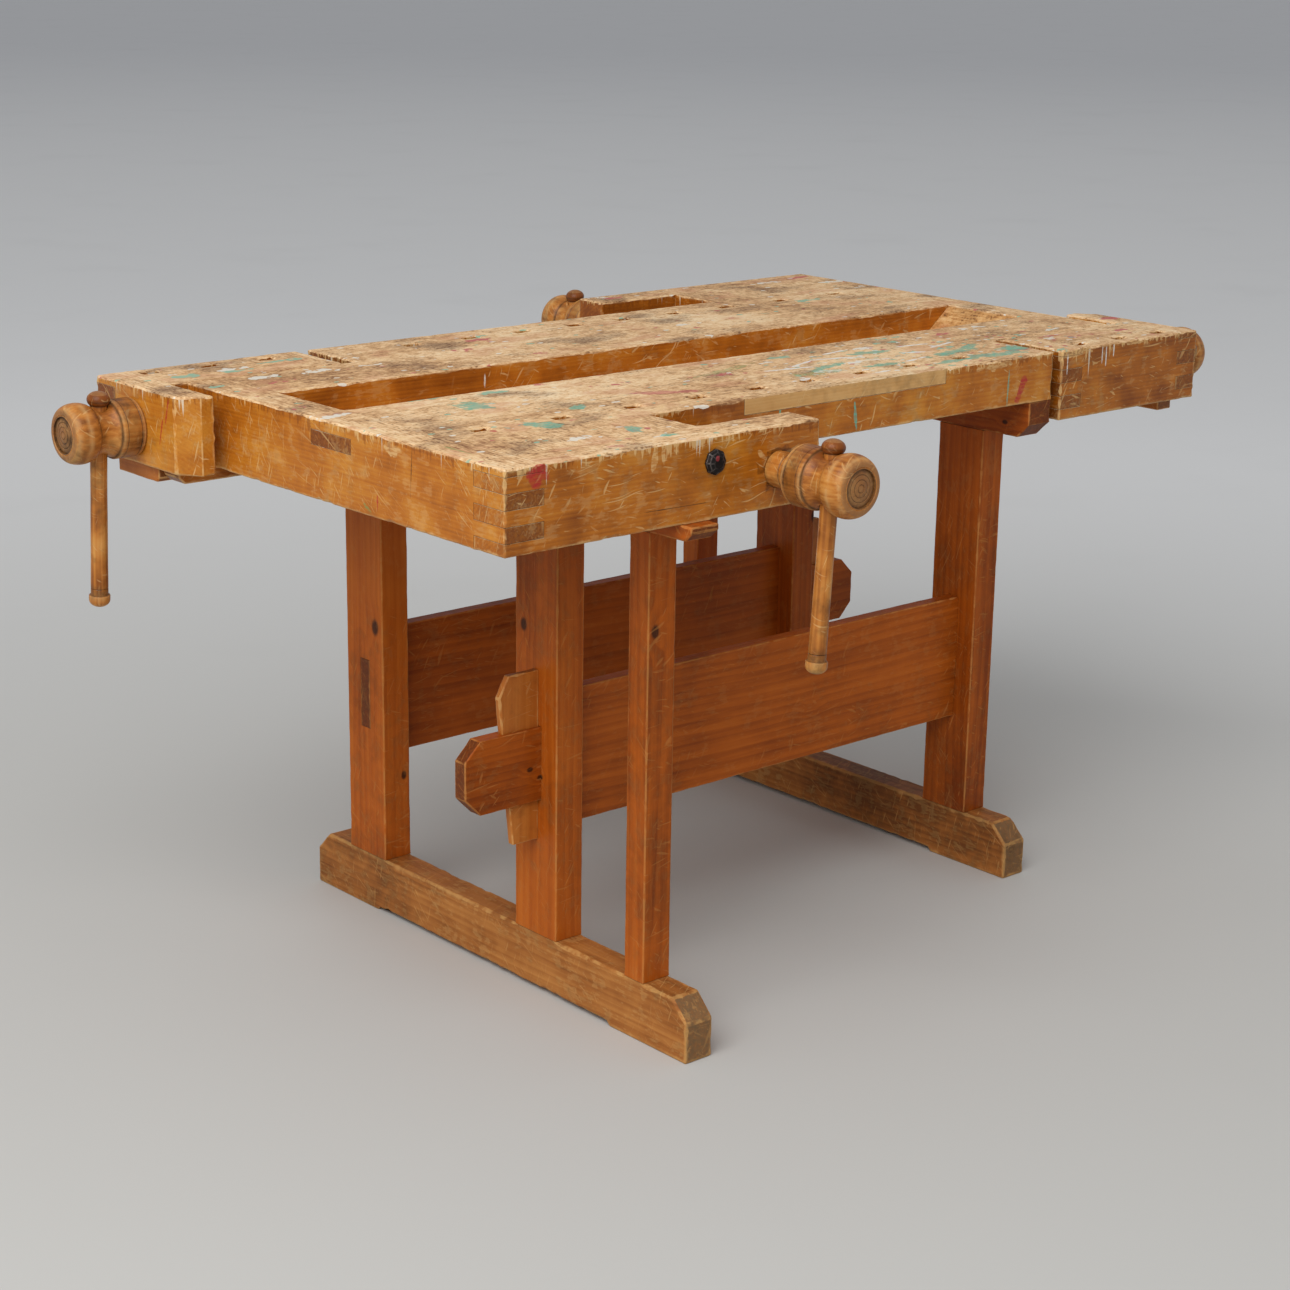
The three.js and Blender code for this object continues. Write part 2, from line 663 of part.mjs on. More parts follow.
// Key that sits in the groove of the screw and pulls the vise open with it
function tailKey() {
  return board({
    x: [keyInner, keyOuter],
    y: [-tailScrewY - KEY_WIDTH / 2, -tailScrewY + KEY_WIDTH / 2],
    z: [rimLow, screwZ],
  }).subtract(tailScrewDrill(keyInner - PAST, keyOuter + PAST, SCREW_RADIUS - GROOVE_DEPTH + RUN));
}

// Cleat under the head that closes the key's slot
function tailCleat() {
  const near = -(runnerFar + CLEAT_CLEAR);
  const top = rimLow - FIT;
  const low = top - CLEAT_THICK;
  const outline = [
    [near - CLEAT_LENGTH, low],
    [near - CLEAT_CHAMFER, low],
    [near, low + CLEAT_CHAMFER],
    [near, top],
    [near - CLEAT_LENGTH, top],
  ];
  const outer = headOuter - CLEAT_BACK;
  return plate("yz", outline, [outer - CLEAT_WIDTH, outer]);
}

// Runner under the head that bears up against the end cap and keeps the vise level
function tailRunner() {
  const nose = headOuter - RUNNER_BACK;
  const top = rimLow - RUN;
  const low = top - RUNNER_THICK;
  const outline = [
    [nose - RUNNER_LENGTH, low],
    [nose - RUNNER_NOSE, low],
    [nose, low + RUNNER_NOSE],
    [nose, top],
    [nose - RUNNER_LENGTH, top],
  ];
  return plate("xz", outline, [-runnerFar, -runnerNear]);
}

// Nut block tongued into the end of the right end cap
function tailNut() {
  const middle = capInner + CAP_THICK / 2;
  return board({
    x: [capInner, HALF_LENGTH],
    y: [-boardInner + RUN, -notchEdge - FIT],
    z: [rimLow + NUT_RAISED, coverLow - RUN],
  })
    .add(
      board({
        x: [middle - TONGUE_WIDTH / 2, middle + TONGUE_WIDTH / 2],
        y: [-boardInner + RUN, -notchEdge + TONGUE_LENGTH],
        z: [screwZ - TONGUE_HEIGHT / 2, screwZ + TONGUE_HEIGHT / 2],
      }),
    )
    .subtract(tailScrewDrill(capInner - PAST, HALF_LENGTH + PAST, SCREW_RADIUS + RUN));
}

function tailScrew(up) {
  const core = SCREW_RADIUS - GROOVE_DEPTH;
  const path = new THREE.Path();
  path.moveTo(0, -TAIL_SCREW_REACH);
  path.lineTo(SCREW_RADIUS - SCREW_CHAMFER, -TAIL_SCREW_REACH);
  path.lineTo(SCREW_RADIUS, SCREW_CHAMFER - TAIL_SCREW_REACH);
  path.lineTo(SCREW_RADIUS, keyInner - RUN - tailOrigin.x);
  path.lineTo(core, keyInner - RUN - tailOrigin.x);
  path.lineTo(core, keyOuter + RUN - tailOrigin.x);
  path.lineTo(SCREW_RADIUS, keyOuter + RUN - tailOrigin.x);
  path.lineTo(SCREW_RADIUS, 0);
  return viseScrew(path, tailOrigin, AXIS.x, up);
}

// Left trestle, with the shoulder vise at its front end
const trestleX = [-trestleOut, -trestleIn];
const visePostY = -armInner + VISE_POST_WIDTH / 2;
const posts = [
  { y: postY, width: POST_WIDTH },
  { y: -postY, width: POST_WIDTH },
  { y: visePostY, width: VISE_POST_WIDTH },
];

function postTenon({ y, width }, gap) {
  const half = width / 2 - POST_TENON_SHOULDER + gap;
  return board({
    x: [-trestleMiddle - POST_TENON_THICK / 2 - gap, -trestleMiddle + POST_TENON_THICK / 2 + gap],
    y: [y - half, y + half],
    z: [FOOT_HEIGHT - POST_TENON_LOW - gap, railLow + POST_TENON_HIGH + gap],
  });
}

function stretcherHole(y) {
  return board({
    x: [-trestleOut - PAST, -trestleIn + PAST],
    y: [y - STRETCHER_THICK / 2 - FIT, y + STRETCHER_THICK / 2 + FIT],
    z: [tuskLow - FIT, tuskTop + FIT],
  });
}

function trestlePost(post, mortised) {
  const { y, width } = post;
  const whole = board({
    x: trestleX,
    y: [y - width / 2, y + width / 2],
    z: [FOOT_HEIGHT + FIT, railLow - FIT],
  }).add(postTenon(post, 0));
  return mortised ? whole.subtract(stretcherHole(y)) : whole;
}

function withPostMortises(solid) {
  return posts.reduce((left, post) => left.subtract(postTenon(post, FIT)), solid);
}

// Foot along the bench's depth, hollowed between two pads that stand on the floor
function trestleFoot() {
  const front = -footReach;
  const back = HALF_SLABS;
  const outline = [
    [front, 0],
    [front + FOOT_PAD, 0],
    [front + FOOT_PAD + FOOT_RELIEF, FOOT_RELIEF],
    [back - FOOT_PAD - FOOT_RELIEF, FOOT_RELIEF],
    [back - FOOT_PAD, 0],
    [back, 0],
    [back, FOOT_HEIGHT - FOOT_CHAMFER],
    [back - FOOT_CHAMFER, FOOT_HEIGHT],
    [front + FOOT_CHAMFER, FOOT_HEIGHT],
    [front, FOOT_HEIGHT - FOOT_CHAMFER],
  ];
  return withPostMortises(plate("yz", outline, trestleX));
}

// Top rail that carries the slabs and passes under the arm
function trestleRail() {
  const nose = -armOuter - RAIL_NOSE_OUT;
  const back = HALF_SLABS;
  const top = slabLow - FIT;
  const underArm = rimLow - FIT;
  const outline = [
    [nose + RAIL_NOSE_CHAMFER, railLow],
    [back - RAIL_CHAMFER, railLow],
    [back, railLow + RAIL_CHAMFER],
    [back, top],
    [-armInner + FIT, top],
    [-armInner + FIT, underArm],
    [nose, underArm],
    [nose, railLow + RAIL_NOSE_CHAMFER],
  ];
  return withPostMortises(plate("yz", outline, trestleX));
}

// Outer edge of the left wedge at a height
function wedgeEdge(z) {
  const slope = (WEDGE_TOP - WEDGE_FOOT) / (wedgeTop - WEDGE_CHAMFER_RISE - wedgeLow);
  return -trestleOut - WEDGE_FOOT - slope * (z - wedgeLow);
}

const stretcherY = [-postY - STRETCHER_THICK / 2, -postY + STRETCHER_THICK / 2];

// Front stretcher: tusk tenon and wedge hole at the left, plain through tenon at the right
function stretcher() {
  const tusk = -trestleOut - TUSK_OUT;
  const left = -trestleIn + FIT;
  const right = trestleIn - FIT;
  const outline = [
    [tusk, tuskLow + TUSK_CHAMFER],
    [tusk + TUSK_CHAMFER, tuskLow],
    [left, tuskLow],
    [left, STRETCHER_LOW],
    [right, STRETCHER_LOW],
    [right, tuskLow],
    [trestleOut, tuskLow],
    [trestleOut, tuskTop],
    [right, tuskTop],
    [right, stretcherTop],
    [left, stretcherTop],
    [left, tuskTop],
    [tusk + TUSK_CHAMFER, tuskTop],
    [tusk, tuskTop - TUSK_CHAMFER],
  ];
  const inside = -trestleOut + WEDGE_DRAW;
  const hole = [
    [wedgeEdge(tuskLow - PAST) - FIT, tuskLow - PAST],
    [inside, tuskLow - PAST],
    [inside, tuskTop + PAST],
    [wedgeEdge(tuskTop + PAST) - FIT, tuskTop + PAST],
  ];
  const holeY = [-postY - WEDGE_THICK / 2 - FIT, -postY + WEDGE_THICK / 2 + FIT];
  return plate("xz", outline, stretcherY).subtract(plate("xz", hole, holeY));
}

// Wedge driven down through the tusk tenon against the post
function wedge() {
  const inner = -trestleOut - FIT;
  const shoulder = wedgeTop - WEDGE_CHAMFER_RISE;
  const outline = [
    [wedgeEdge(wedgeLow), wedgeLow],
    [inner, wedgeLow],
    [inner, wedgeTop],
    [wedgeEdge(shoulder) + WEDGE_CHAMFER, wedgeTop],
    [wedgeEdge(shoulder), shoulder],
  ];
  return plate("xz", outline, [-postY - WEDGE_THICK / 2, -postY + WEDGE_THICK / 2]);
}

function finish(color, roughness, metalness = 0) {
  return { color, roughness, metalness };
}

const WORN_TOP = finish(0xc6a27a, 0.75);
const VARNISHED = finish(0xb0742f, 0.45);
const TRESTLE_PINE = finish(0x8d4b20, 0.5);
const FOOT_PINE = finish(0xa06a38, 0.7);
const TURNED_BEECH = finish(0xbf8a45, 0.4);
const WEDGE_WOOD = finish(0x9c6632, 0.55);
const PALE_REPAIR = finish(0xbd9a62, 0.6);
const BLACK_IRON = finish(0x2a2624, 0.5, 0.8);

const bench = new THREE.Group();
const firstHalf = new THREE.Group();
const secondHalf = new THREE.Group();
secondHalf.rotation.z = Math.PI;
bench.add(firstHalf, secondHalf);

function addPiece(group, name, solid, look) {
  const mesh = new THREE.Mesh(geometryOf(solid), new THREE.MeshStandardMaterial(look));
  mesh.name = name;
  group.add(mesh);
}

function addPair([first, second], name, solid, look) {
  addPiece(firstHalf, `${first}_${name}`, solid, look);
  addPiece(secondHalf, `${second}_${name}`, solid, look);
}

const ENDS = ["left", "right"];
const SIDES = ["front", "back"];

addPair(ENDS, "foot", trestleFoot(), FOOT_PINE);
addPair(ENDS, "far_post", trestlePost(posts[0], true), TRESTLE_PINE);
addPair(ENDS, "near_post", trestlePost(posts[1], true), TRESTLE_PINE);
addPair(ENDS, "vise_post", trestlePost(posts[2], false), TRESTLE_PINE);
addPair(ENDS, "top_rail", trestleRail(), TRESTLE_PINE);
addPair(SIDES, "stretcher", stretcher(), TRESTLE_PINE);
addPair(SIDES, "wedge", wedge(), WEDGE_WOOD);
addPair(ENDS, "end_cap", endCap(), VARNISHED);
addPair(ENDS, "tray_ramp", trayRamp(), WORN_TOP);
addPiece(firstHalf, "tray_floor", trayFloor(), WORN_TOP);
addPair(SIDES, "plank", plank(), WORN_TOP);
addPiece(firstHalf, "front_dog_strip", dogStrip().subtract(repairRoom(FIT)), WORN_TOP);
addPiece(secondHalf, "back_dog_strip", dogStrip(), WORN_TOP);
addPiece(firstHalf, "front_edge_repair", repairRoom(0), PALE_REPAIR);
addPair(SIDES, "shoulder_arm", shoulderArm(), VARNISHED);
addPair(SIDES, "shoulder_spacer", shoulderSpacer(), WORN_TOP);
addPair(SIDES, "tie_screw", tieScrew(), BLACK_IRON);
addPair(SIDES, "shoulder_pad", shoulderPad(), VARNISHED);
addPair(SIDES, "shoulder_screw", shoulderScrew(), TURNED_BEECH);
addPair(SIDES, "shoulder_bar", tommyBar(shoulderWaist, shoulderUp), TURNED_BEECH);
addPair(SIDES, "shoulder_knob", barKnob(shoulderWaist, shoulderUp), TURNED_BEECH);
addPair(SIDES, "tail_nut", tailNut(), VARNISHED);
addPair(SIDES, "tail_board", tailBoard(), VARNISHED);
addPair(SIDES, "tail_jaw", tailJaw(), VARNISHED);
addPair(SIDES, "tail_head", tailHead(), VARNISHED);
addPair(SIDES, "tail_cover", tailCover(), WORN_TOP);
addPair(SIDES, "tail_key", tailKey(), WEDGE_WOOD);
addPair(SIDES, "tail_cleat", tailCleat(), WEDGE_WOOD);
addPair(SIDES, "tail_runner", tailRunner(), VARNISHED);
addPiece(firstHalf, "front_tail_screw", tailScrew(leaningUp), TURNED_BEECH);
addPiece(firstHalf, "front_tail_bar", tommyBar(tailWaist, leaningUp), TURNED_BEECH);
addPiece(firstHalf, "front_tail_knob", barKnob(tailWaist, leaningUp), TURNED_BEECH);
addPiece(secondHalf, "back_tail_screw", tailScrew(hangingUp), TURNED_BEECH);
addPiece(secondHalf, "back_tail_bar", tommyBar(tailWaist, hangingUp), TURNED_BEECH);
addPiece(secondHalf, "back_tail_knob", barKnob(tailWaist, hangingUp), TURNED_BEECH);

export default bench;
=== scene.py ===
"""Looks of a double-sided woodworking bench with two shoulder vises and two tail vises."""

import json
import logging
import math
import random
from dataclasses import dataclass, field, replace
from enum import Enum
from typing import Any, Sequence, Union

import bmesh
import bpy
from mathutils import Matrix, Vector, noise
from mathutils.bvhtree import BVHTree
from mathutils.kdtree import KDTree

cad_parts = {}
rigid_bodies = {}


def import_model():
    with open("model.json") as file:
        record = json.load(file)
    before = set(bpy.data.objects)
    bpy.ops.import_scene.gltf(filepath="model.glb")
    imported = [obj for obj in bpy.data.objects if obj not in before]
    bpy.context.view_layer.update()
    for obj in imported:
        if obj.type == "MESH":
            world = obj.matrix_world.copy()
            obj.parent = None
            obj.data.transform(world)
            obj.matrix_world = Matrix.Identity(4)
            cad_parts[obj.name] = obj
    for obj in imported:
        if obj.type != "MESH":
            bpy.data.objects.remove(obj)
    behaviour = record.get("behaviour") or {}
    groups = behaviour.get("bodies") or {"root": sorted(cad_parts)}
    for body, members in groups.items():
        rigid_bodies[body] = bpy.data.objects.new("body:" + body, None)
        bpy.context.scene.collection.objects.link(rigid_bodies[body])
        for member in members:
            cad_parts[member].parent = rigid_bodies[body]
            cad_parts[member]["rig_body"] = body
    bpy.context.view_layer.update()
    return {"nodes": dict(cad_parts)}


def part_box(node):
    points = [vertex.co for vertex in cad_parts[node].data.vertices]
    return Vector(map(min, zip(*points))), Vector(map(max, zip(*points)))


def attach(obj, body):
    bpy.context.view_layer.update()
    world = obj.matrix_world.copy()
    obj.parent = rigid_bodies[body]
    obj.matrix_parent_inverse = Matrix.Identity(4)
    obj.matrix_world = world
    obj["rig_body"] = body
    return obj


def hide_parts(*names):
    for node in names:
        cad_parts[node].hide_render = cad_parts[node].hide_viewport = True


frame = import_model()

LOG = logging.getLogger("bench")
MM = 0.001
TOP_HEIGHT = 0.800  # worktop above the floor

Point = tuple[float, float, float]
Colour = tuple[float, float, float]
Outline = list[tuple[float, float]]


def tint(red: int, green: int, blue: int) -> Colour:
    """A colour written in screen bytes, as the linear values that shaders take.

    Args:
        red: Red byte.
        green: Green byte.
        blue: Blue byte.

    Returns:
        The linear colour.
    """
    parts = [byte / 255 for byte in (red, green, blue)]
    return tuple(p / 12.92 if p <= 0.04045 else ((p + 0.055) / 1.055) ** 2.4 for p in parts)


class Grain(Enum):
    """The way a board's fibres run, as the order of axes: along, across and through."""

    X = (0, 1, 2)
    Y = (1, 0, 2)
    Z = (2, 0, 1)

    def order(self, place: Vector) -> Vector:
        """A place of the bench in the board's own order of axes."""
        return Vector([place[axis] for axis in self.value])


class Side(Enum):
    """The worker's side that a vise belongs to, with the turn that takes the front one there."""

    FRONT = ("front", 0.0)
    BACK = ("back", math.pi)

    @property
    def word(self) -> str:
        """The side's word in node names."""
        return self.value[0]

    @property
    def turn(self) -> Matrix:
        """The turn about the bench's middle that takes a front piece to this side."""
        return Matrix.Rotation(self.value[1], 4, "Z")


# ---------------------------------------------------------------------------------------------
# Shader sheets
# ---------------------------------------------------------------------------------------------


class Value:
    """A number's socket, whose operators add Math nodes to its sheet."""

    def __init__(self, sheet: "Sheet", socket: bpy.types.NodeSocket) -> None:
        """Keeps the socket and its sheet."""
        self.sheet = sheet
        self.socket = socket

    def __add__(self, other: "Number") -> "Value":
        """Sum."""
        return self.sheet.math("ADD", self, other)

    def __radd__(self, other: "Number") -> "Value":
        """Sum, from the right."""
        return self.sheet.math("ADD", other, self)

    def __sub__(self, other: "Number") -> "Value":
        """Difference."""
        return self.sheet.math("SUBTRACT", self, other)

    def __rsub__(self, other: "Number") -> "Value":
        """Difference, from the right."""
        return self.sheet.math("SUBTRACT", other, self)

    def __mul__(self, other: "Number") -> "Value":
        """Product."""
        return self.sheet.math("MULTIPLY", self, other)

    def __rmul__(self, other: "Number") -> "Value":
        """Product, from the right."""
        return self.sheet.math("MULTIPLY", other, self)

    def __truediv__(self, other: "Number") -> "Value":
        """Quotient."""
        return self.sheet.math("DIVIDE", self, other)

    def __rtruediv__(self, other: "Number") -> "Value":
        """Quotient, from the right."""
        return self.sheet.math("DIVIDE", other, self)

    def __pow__(self, other: "Number") -> "Value":
        """Power."""
        return self.sheet.math("POWER", self, other)

    def low(self, other: "Number") -> "Value":
        """The lower of two values."""
        return self.sheet.math("MINIMUM", self, other)

    def high(self, other: "Number") -> "Value":
        """The higher of two values."""
        return self.sheet.math("MAXIMUM", self, other)

    def fract(self) -> "Value":
        """The part after the point."""
        return self.sheet.math("FRACT", self)

    def size(self) -> "Value":
        """The value without its sign."""
        return self.sheet.math("ABSOLUTE", self)

    def step(self, start: float, stop: float) -> "Value":
        """A soft step from 0 at start to 1 at stop.

        Args:
            start: The value that gives 0.
            stop: The value that gives 1.

        Returns:
            The stepped value.
        """
        settings = {"interpolation_type": "SMOOTHSTEP"}
        node = self.sheet.add("ShaderNodeMapRange", settings, {0: self, 1: start, 2: stop})
        return Value(self.sheet, node.outputs[0])


Number = Union[Value, float]


class Sheet:
    """The node sheet of one material."""

    def __init__(self, name: str) -> None:
        """Starts an empty sheet in a new material of that name."""
        self.material = bpy.data.materials.new(name)
        self.material.use_nodes = True
        self.tree = self.material.node_tree
        self.tree.nodes.clear()

    def add(self, kind: str, settings: dict[str, Any], sockets: dict[Any, Any]) -> bpy.types.Node:
        """Adds a node.

        Args:
            kind: Blender's name of the node's type.
            settings: The node's own settings, and a ramp's stops.
            sockets: Values or links by the name or number of an input.

        Returns:
            The node.
        """
        node = self.tree.nodes.new(kind)
        for name, setting in settings.items():
            if name == "stops":
                self._set_stops(node.color_ramp, setting)
            else:
                setattr(node, name, setting)
        for key, value in sockets.items():
            self._join(value, node.inputs[key])
        return node

    def _set_stops(self, ramp: bpy.types.ColorRamp, stops: Sequence[tuple[float, Colour]]) -> None:
        """Gives a ramp its stops, from the lowest to the highest."""
        while len(ramp.elements) < len(stops):
            ramp.elements.new(1.0)
        for element, (at, colour) in zip(ramp.elements, stops):
            element.position = at
            element.color = (*colour, 1.0)

    def _join(self, value: Any, socket: bpy.types.NodeSocket) -> None:
        """Links a socket to a value, or sets its constant."""
        if isinstance(value, Value):
            self.tree.links.new(value.socket, socket)
        elif isinstance(value, bpy.types.NodeSocket):
            self.tree.links.new(value, socket)
        elif socket.type == "RGBA":
            socket.default_value = (*value[:3], 1.0)
        else:
            socket.default_value = value

    def math(self, operation: str, *values: Number) -> Value:
        """The result of a Math node on one or two values."""
        node = self.add("ShaderNodeMath", {"operation": operation}, dict(enumerate(values)))
        return Value(self, node.outputs[0])

    def attribute(self, name: str) -> bpy.types.NodeSocket:
        """A vector attribute of the piece."""
        return self.add("ShaderNodeAttribute", {"attribute_name": name}, {}).outputs["Vector"]

    def split(self, vector: bpy.types.NodeSocket) -> tuple[Value, Value, Value]:
        """The three numbers of a vector."""
        node = self.add("ShaderNodeSeparateXYZ", {}, {0: vector})
        return tuple(Value(self, socket) for socket in node.outputs)

    def place(self) -> bpy.types.NodeSocket:
        """Object coordinates, which are places of the bench at rest."""
        return self.add("ShaderNodeTexCoord", {}, {}).outputs["Object"]

    def scaled(self, vector: bpy.types.NodeSocket, factors: Point) -> bpy.types.NodeSocket:
        """A vector with each of its numbers multiplied."""
        settings = {"operation": "MULTIPLY"}
        return self.add("ShaderNodeVectorMath", settings, {0: vector, 1: factors}).outputs[0]

    def moved(
        self, vector: bpy.types.NodeSocket, centre: Point, turn: Point, radii: Point
    ) -> bpy.types.NodeSocket:
        """A vector centred on a spot, turned with it and divided by its radii.

        Args:
            vector: The place to move.
            centre: The middle of the spot.
            turn: The spot's turn about the three axes.
            radii: The spot's half sizes.

        Returns:
            The vector, which is one long on the spot's rim.
        """
        sockets = {0: vector, 1: centre, 2: turn, 3: radii}
        return self.add("ShaderNodeMapping", {"vector_type": "TEXTURE"}, sockets).outputs[0]

    def after(self, vector: bpy.types.NodeSocket, value: Value) -> bpy.types.NodeSocket:
        """The same vector, but known only after a value, so that fewer values are held at a time.

        Args:
            vector: The vector.
            value: What is worked out first.

        Returns:
            The vector, unchanged.
        """
        sockets = {0: value.socket, 1: (0.0, 0.0, 0.0), 2: vector}
        return self.add("ShaderNodeVectorMath", {"operation": "MULTIPLY_ADD"}, sockets).outputs[0]

    def length(self, vector: bpy.types.NodeSocket) -> Value:
        """The length of a vector."""
        node = self.add("ShaderNodeVectorMath", {"operation": "LENGTH"}, {0: vector})
        return Value(self, node.outputs["Value"])

    def noise(self, vector: bpy.types.NodeSocket, factors: Point, detail: float = 2.0) -> Value:
        """Noise on a vector, about a half on the mean.

        Args:
            vector: The place.
            factors: Waves in each direction, per metre.
            detail: Octaves of finer noise.

        Returns:
            The noise.
        """
        sockets = {"Vector": self.scaled(vector, factors), "Scale": 1.0, "Detail": detail}
        return Value(self, self.add("ShaderNodeTexNoise", {}, sockets).outputs[0])

    def bent(self, vector: bpy.types.NodeSocket, scale: float, amount: float) -> bpy.types.NodeSocket:
        """A place moved about by broad noise.

        Args:
            vector: The place.
            scale: Bends per metre.
            amount: How far a place is moved, in metres.

        Returns:
            The moved place.
        """
        sockets = {"Vector": vector, "Scale": scale, "Detail": 1.0}
        drift = self.add("ShaderNodeTexNoise", {}, sockets).outputs["Color"]
        settings = {"operation": "MULTIPLY_ADD"}
        sockets = {0: drift, 1: (amount,) * 3, 2: vector}
        return self.add("ShaderNodeVectorMath", settings, sockets).outputs[0]

    def dots(self, vector: bpy.types.NodeSocket, factors: Point) -> tuple[Value, Value, Value]:
        """Many scattered dots.

        Args:
            vector: The place.
            factors: Dots in each direction, per metre.

        Returns:
            The distance to the nearest dot, in cells, and two chance numbers of that dot.
        """
        sockets = {"Vector": self.scaled(vector, factors), "Scale": 1.0}
        node = self.add("ShaderNodeTexVoronoi", {}, sockets)
        first, second, _ = self.split(node.outputs["Color"])
        return Value(self, node.outputs["Distance"]), first, second

    def ramp(self, value: Value, stops: Sequence[tuple[float, Colour]]) -> bpy.types.NodeSocket:
        """The colour of a ramp at a value."""
        return self.add("ShaderNodeValToRGB", {"stops": stops}, {0: value}).outputs[0]

    def blend(self, share: Number, under: Any, over: Any) -> bpy.types.NodeSocket:
        """Two colours mixed.

        Args:
            share: How much of the second colour shows.
            under: The first colour.
            over: The second colour.

        Returns:
            The mixed colour.
        """
        settings = {"data_type": "RGBA", "clamp_factor": True}
        node = self.add("ShaderNodeMix", settings, {0: share, 6: under, 7: over})
        return node.outputs[2]

    def finish(self, shader: dict[str, Any], height: Value, relief: float) -> bpy.types.Material:
        """Closes the sheet with a shader and its bump.

        Args:
            shader: Values or links of the shader's inputs.
            height: The surface's height, from 0 to 1.
            relief: How deep that height is, in metres.

        Returns:
            The material.
        """
        bump = self.add("ShaderNodeBump", {}, {"Strength": 1.0, "Distance": relief, "Height": height})
        sockets = {**shader, "Normal": bump.outputs[0]}
        surface = self.add("ShaderNodeBsdfPrincipled", {}, sockets)
        self.add("ShaderNodeOutputMaterial", {}, {"Surface": surface.outputs[0]})
        return self.material


# ---------------------------------------------------------------------------------------------
# Finishes
# ---------------------------------------------------------------------------------------------


@dataclass(frozen=True)
class Spot:
    """A spot of paint, pencil or dirt on the bench, in millimetres."""

    centre: Point
    radii: Point
    turn: Point = (0.0, 0.0, 0.0)

    def mask(self, sheet: Sheet, place: bpy.types.NodeSocket, ragged: Value) -> Value:
        """Where the spot shows.

        Args:
            sheet: The sheet to draw on.
            place: Object coordinates.
            ragged: Noise that frays the rim.

        Returns:
            1 on the spot and 0 away from it.
        """
        centre = tuple(number * MM for number in self.centre)
        radii = tuple(number * MM for number in self.radii)
        turn = tuple(math.radians(angle) for angle in self.turn)
        reach = sheet.length(sheet.moved(place, centre, turn, radii))
        return (reach + ragged).step(1.0, 0.7)


@dataclass(frozen=True)
class Paint:
    """Spots of one colour."""

    colour: Colour
    spots: tuple[Spot, ...]
    cover: float = 0.85
    fray: float = 1.3
    gaps: float = 0.0

    def lay(
        self,
        sheet: Sheet,
        under: bpy.types.NodeSocket,
        place: bpy.types.NodeSocket,
        rough: Value,
        streak: Value,
    ) -> tuple[bpy.types.NodeSocket, Value]:
        """Lays the spots over a colour.

        Args:
            sheet: The sheet to draw on.
            under: The colour below.
            place: Object coordinates.
            rough: Noise about a half on the mean.
            streak: Noise along the fibres, where the paint has worn through.

        Returns:
            The painted colour and where the paint lies.
        """
        ragged = (rough - 0.5) * self.fray
        mask = self.spots[0].mask(sheet, place, ragged)
        for spot in self.spots[1:]:
            mask = mask.high(spot.mask(sheet, place, ragged))
        mask = mask * self.cover * (1.0 - streak.step(0.56, 0.46) * self.gaps)
        return sheet.blend(mask, under, self.colour), mask


@dataclass(frozen=True)
class Knot:
    """A knot in a board, in millimetres, with the way its fibres run."""

    centre: Point
    grain: Grain
    radius: float = 9.0

    def reach(self, sheet: Sheet, place: bpy.types.NodeSocket) -> Value:
        """The distance from the knot, in its radii, shorter along the fibres."""
        radii = [self.radius * MM] * 3
        radii[self.grain.value[0]] *= 1.5
        centre = tuple(number * MM for number in self.centre)
        return sheet.length(sheet.moved(place, centre, (0.0, 0.0, 0.0), tuple(radii)))


@dataclass(frozen=True)
class Figure:
    """The figure of a wood: its growth rings and fibres."""

    ring_pitch: float
    ring_drift: float
    ring_share: float
    fibre_share: float
    streak_share: float
    patch_share: float
    cloud_share: float


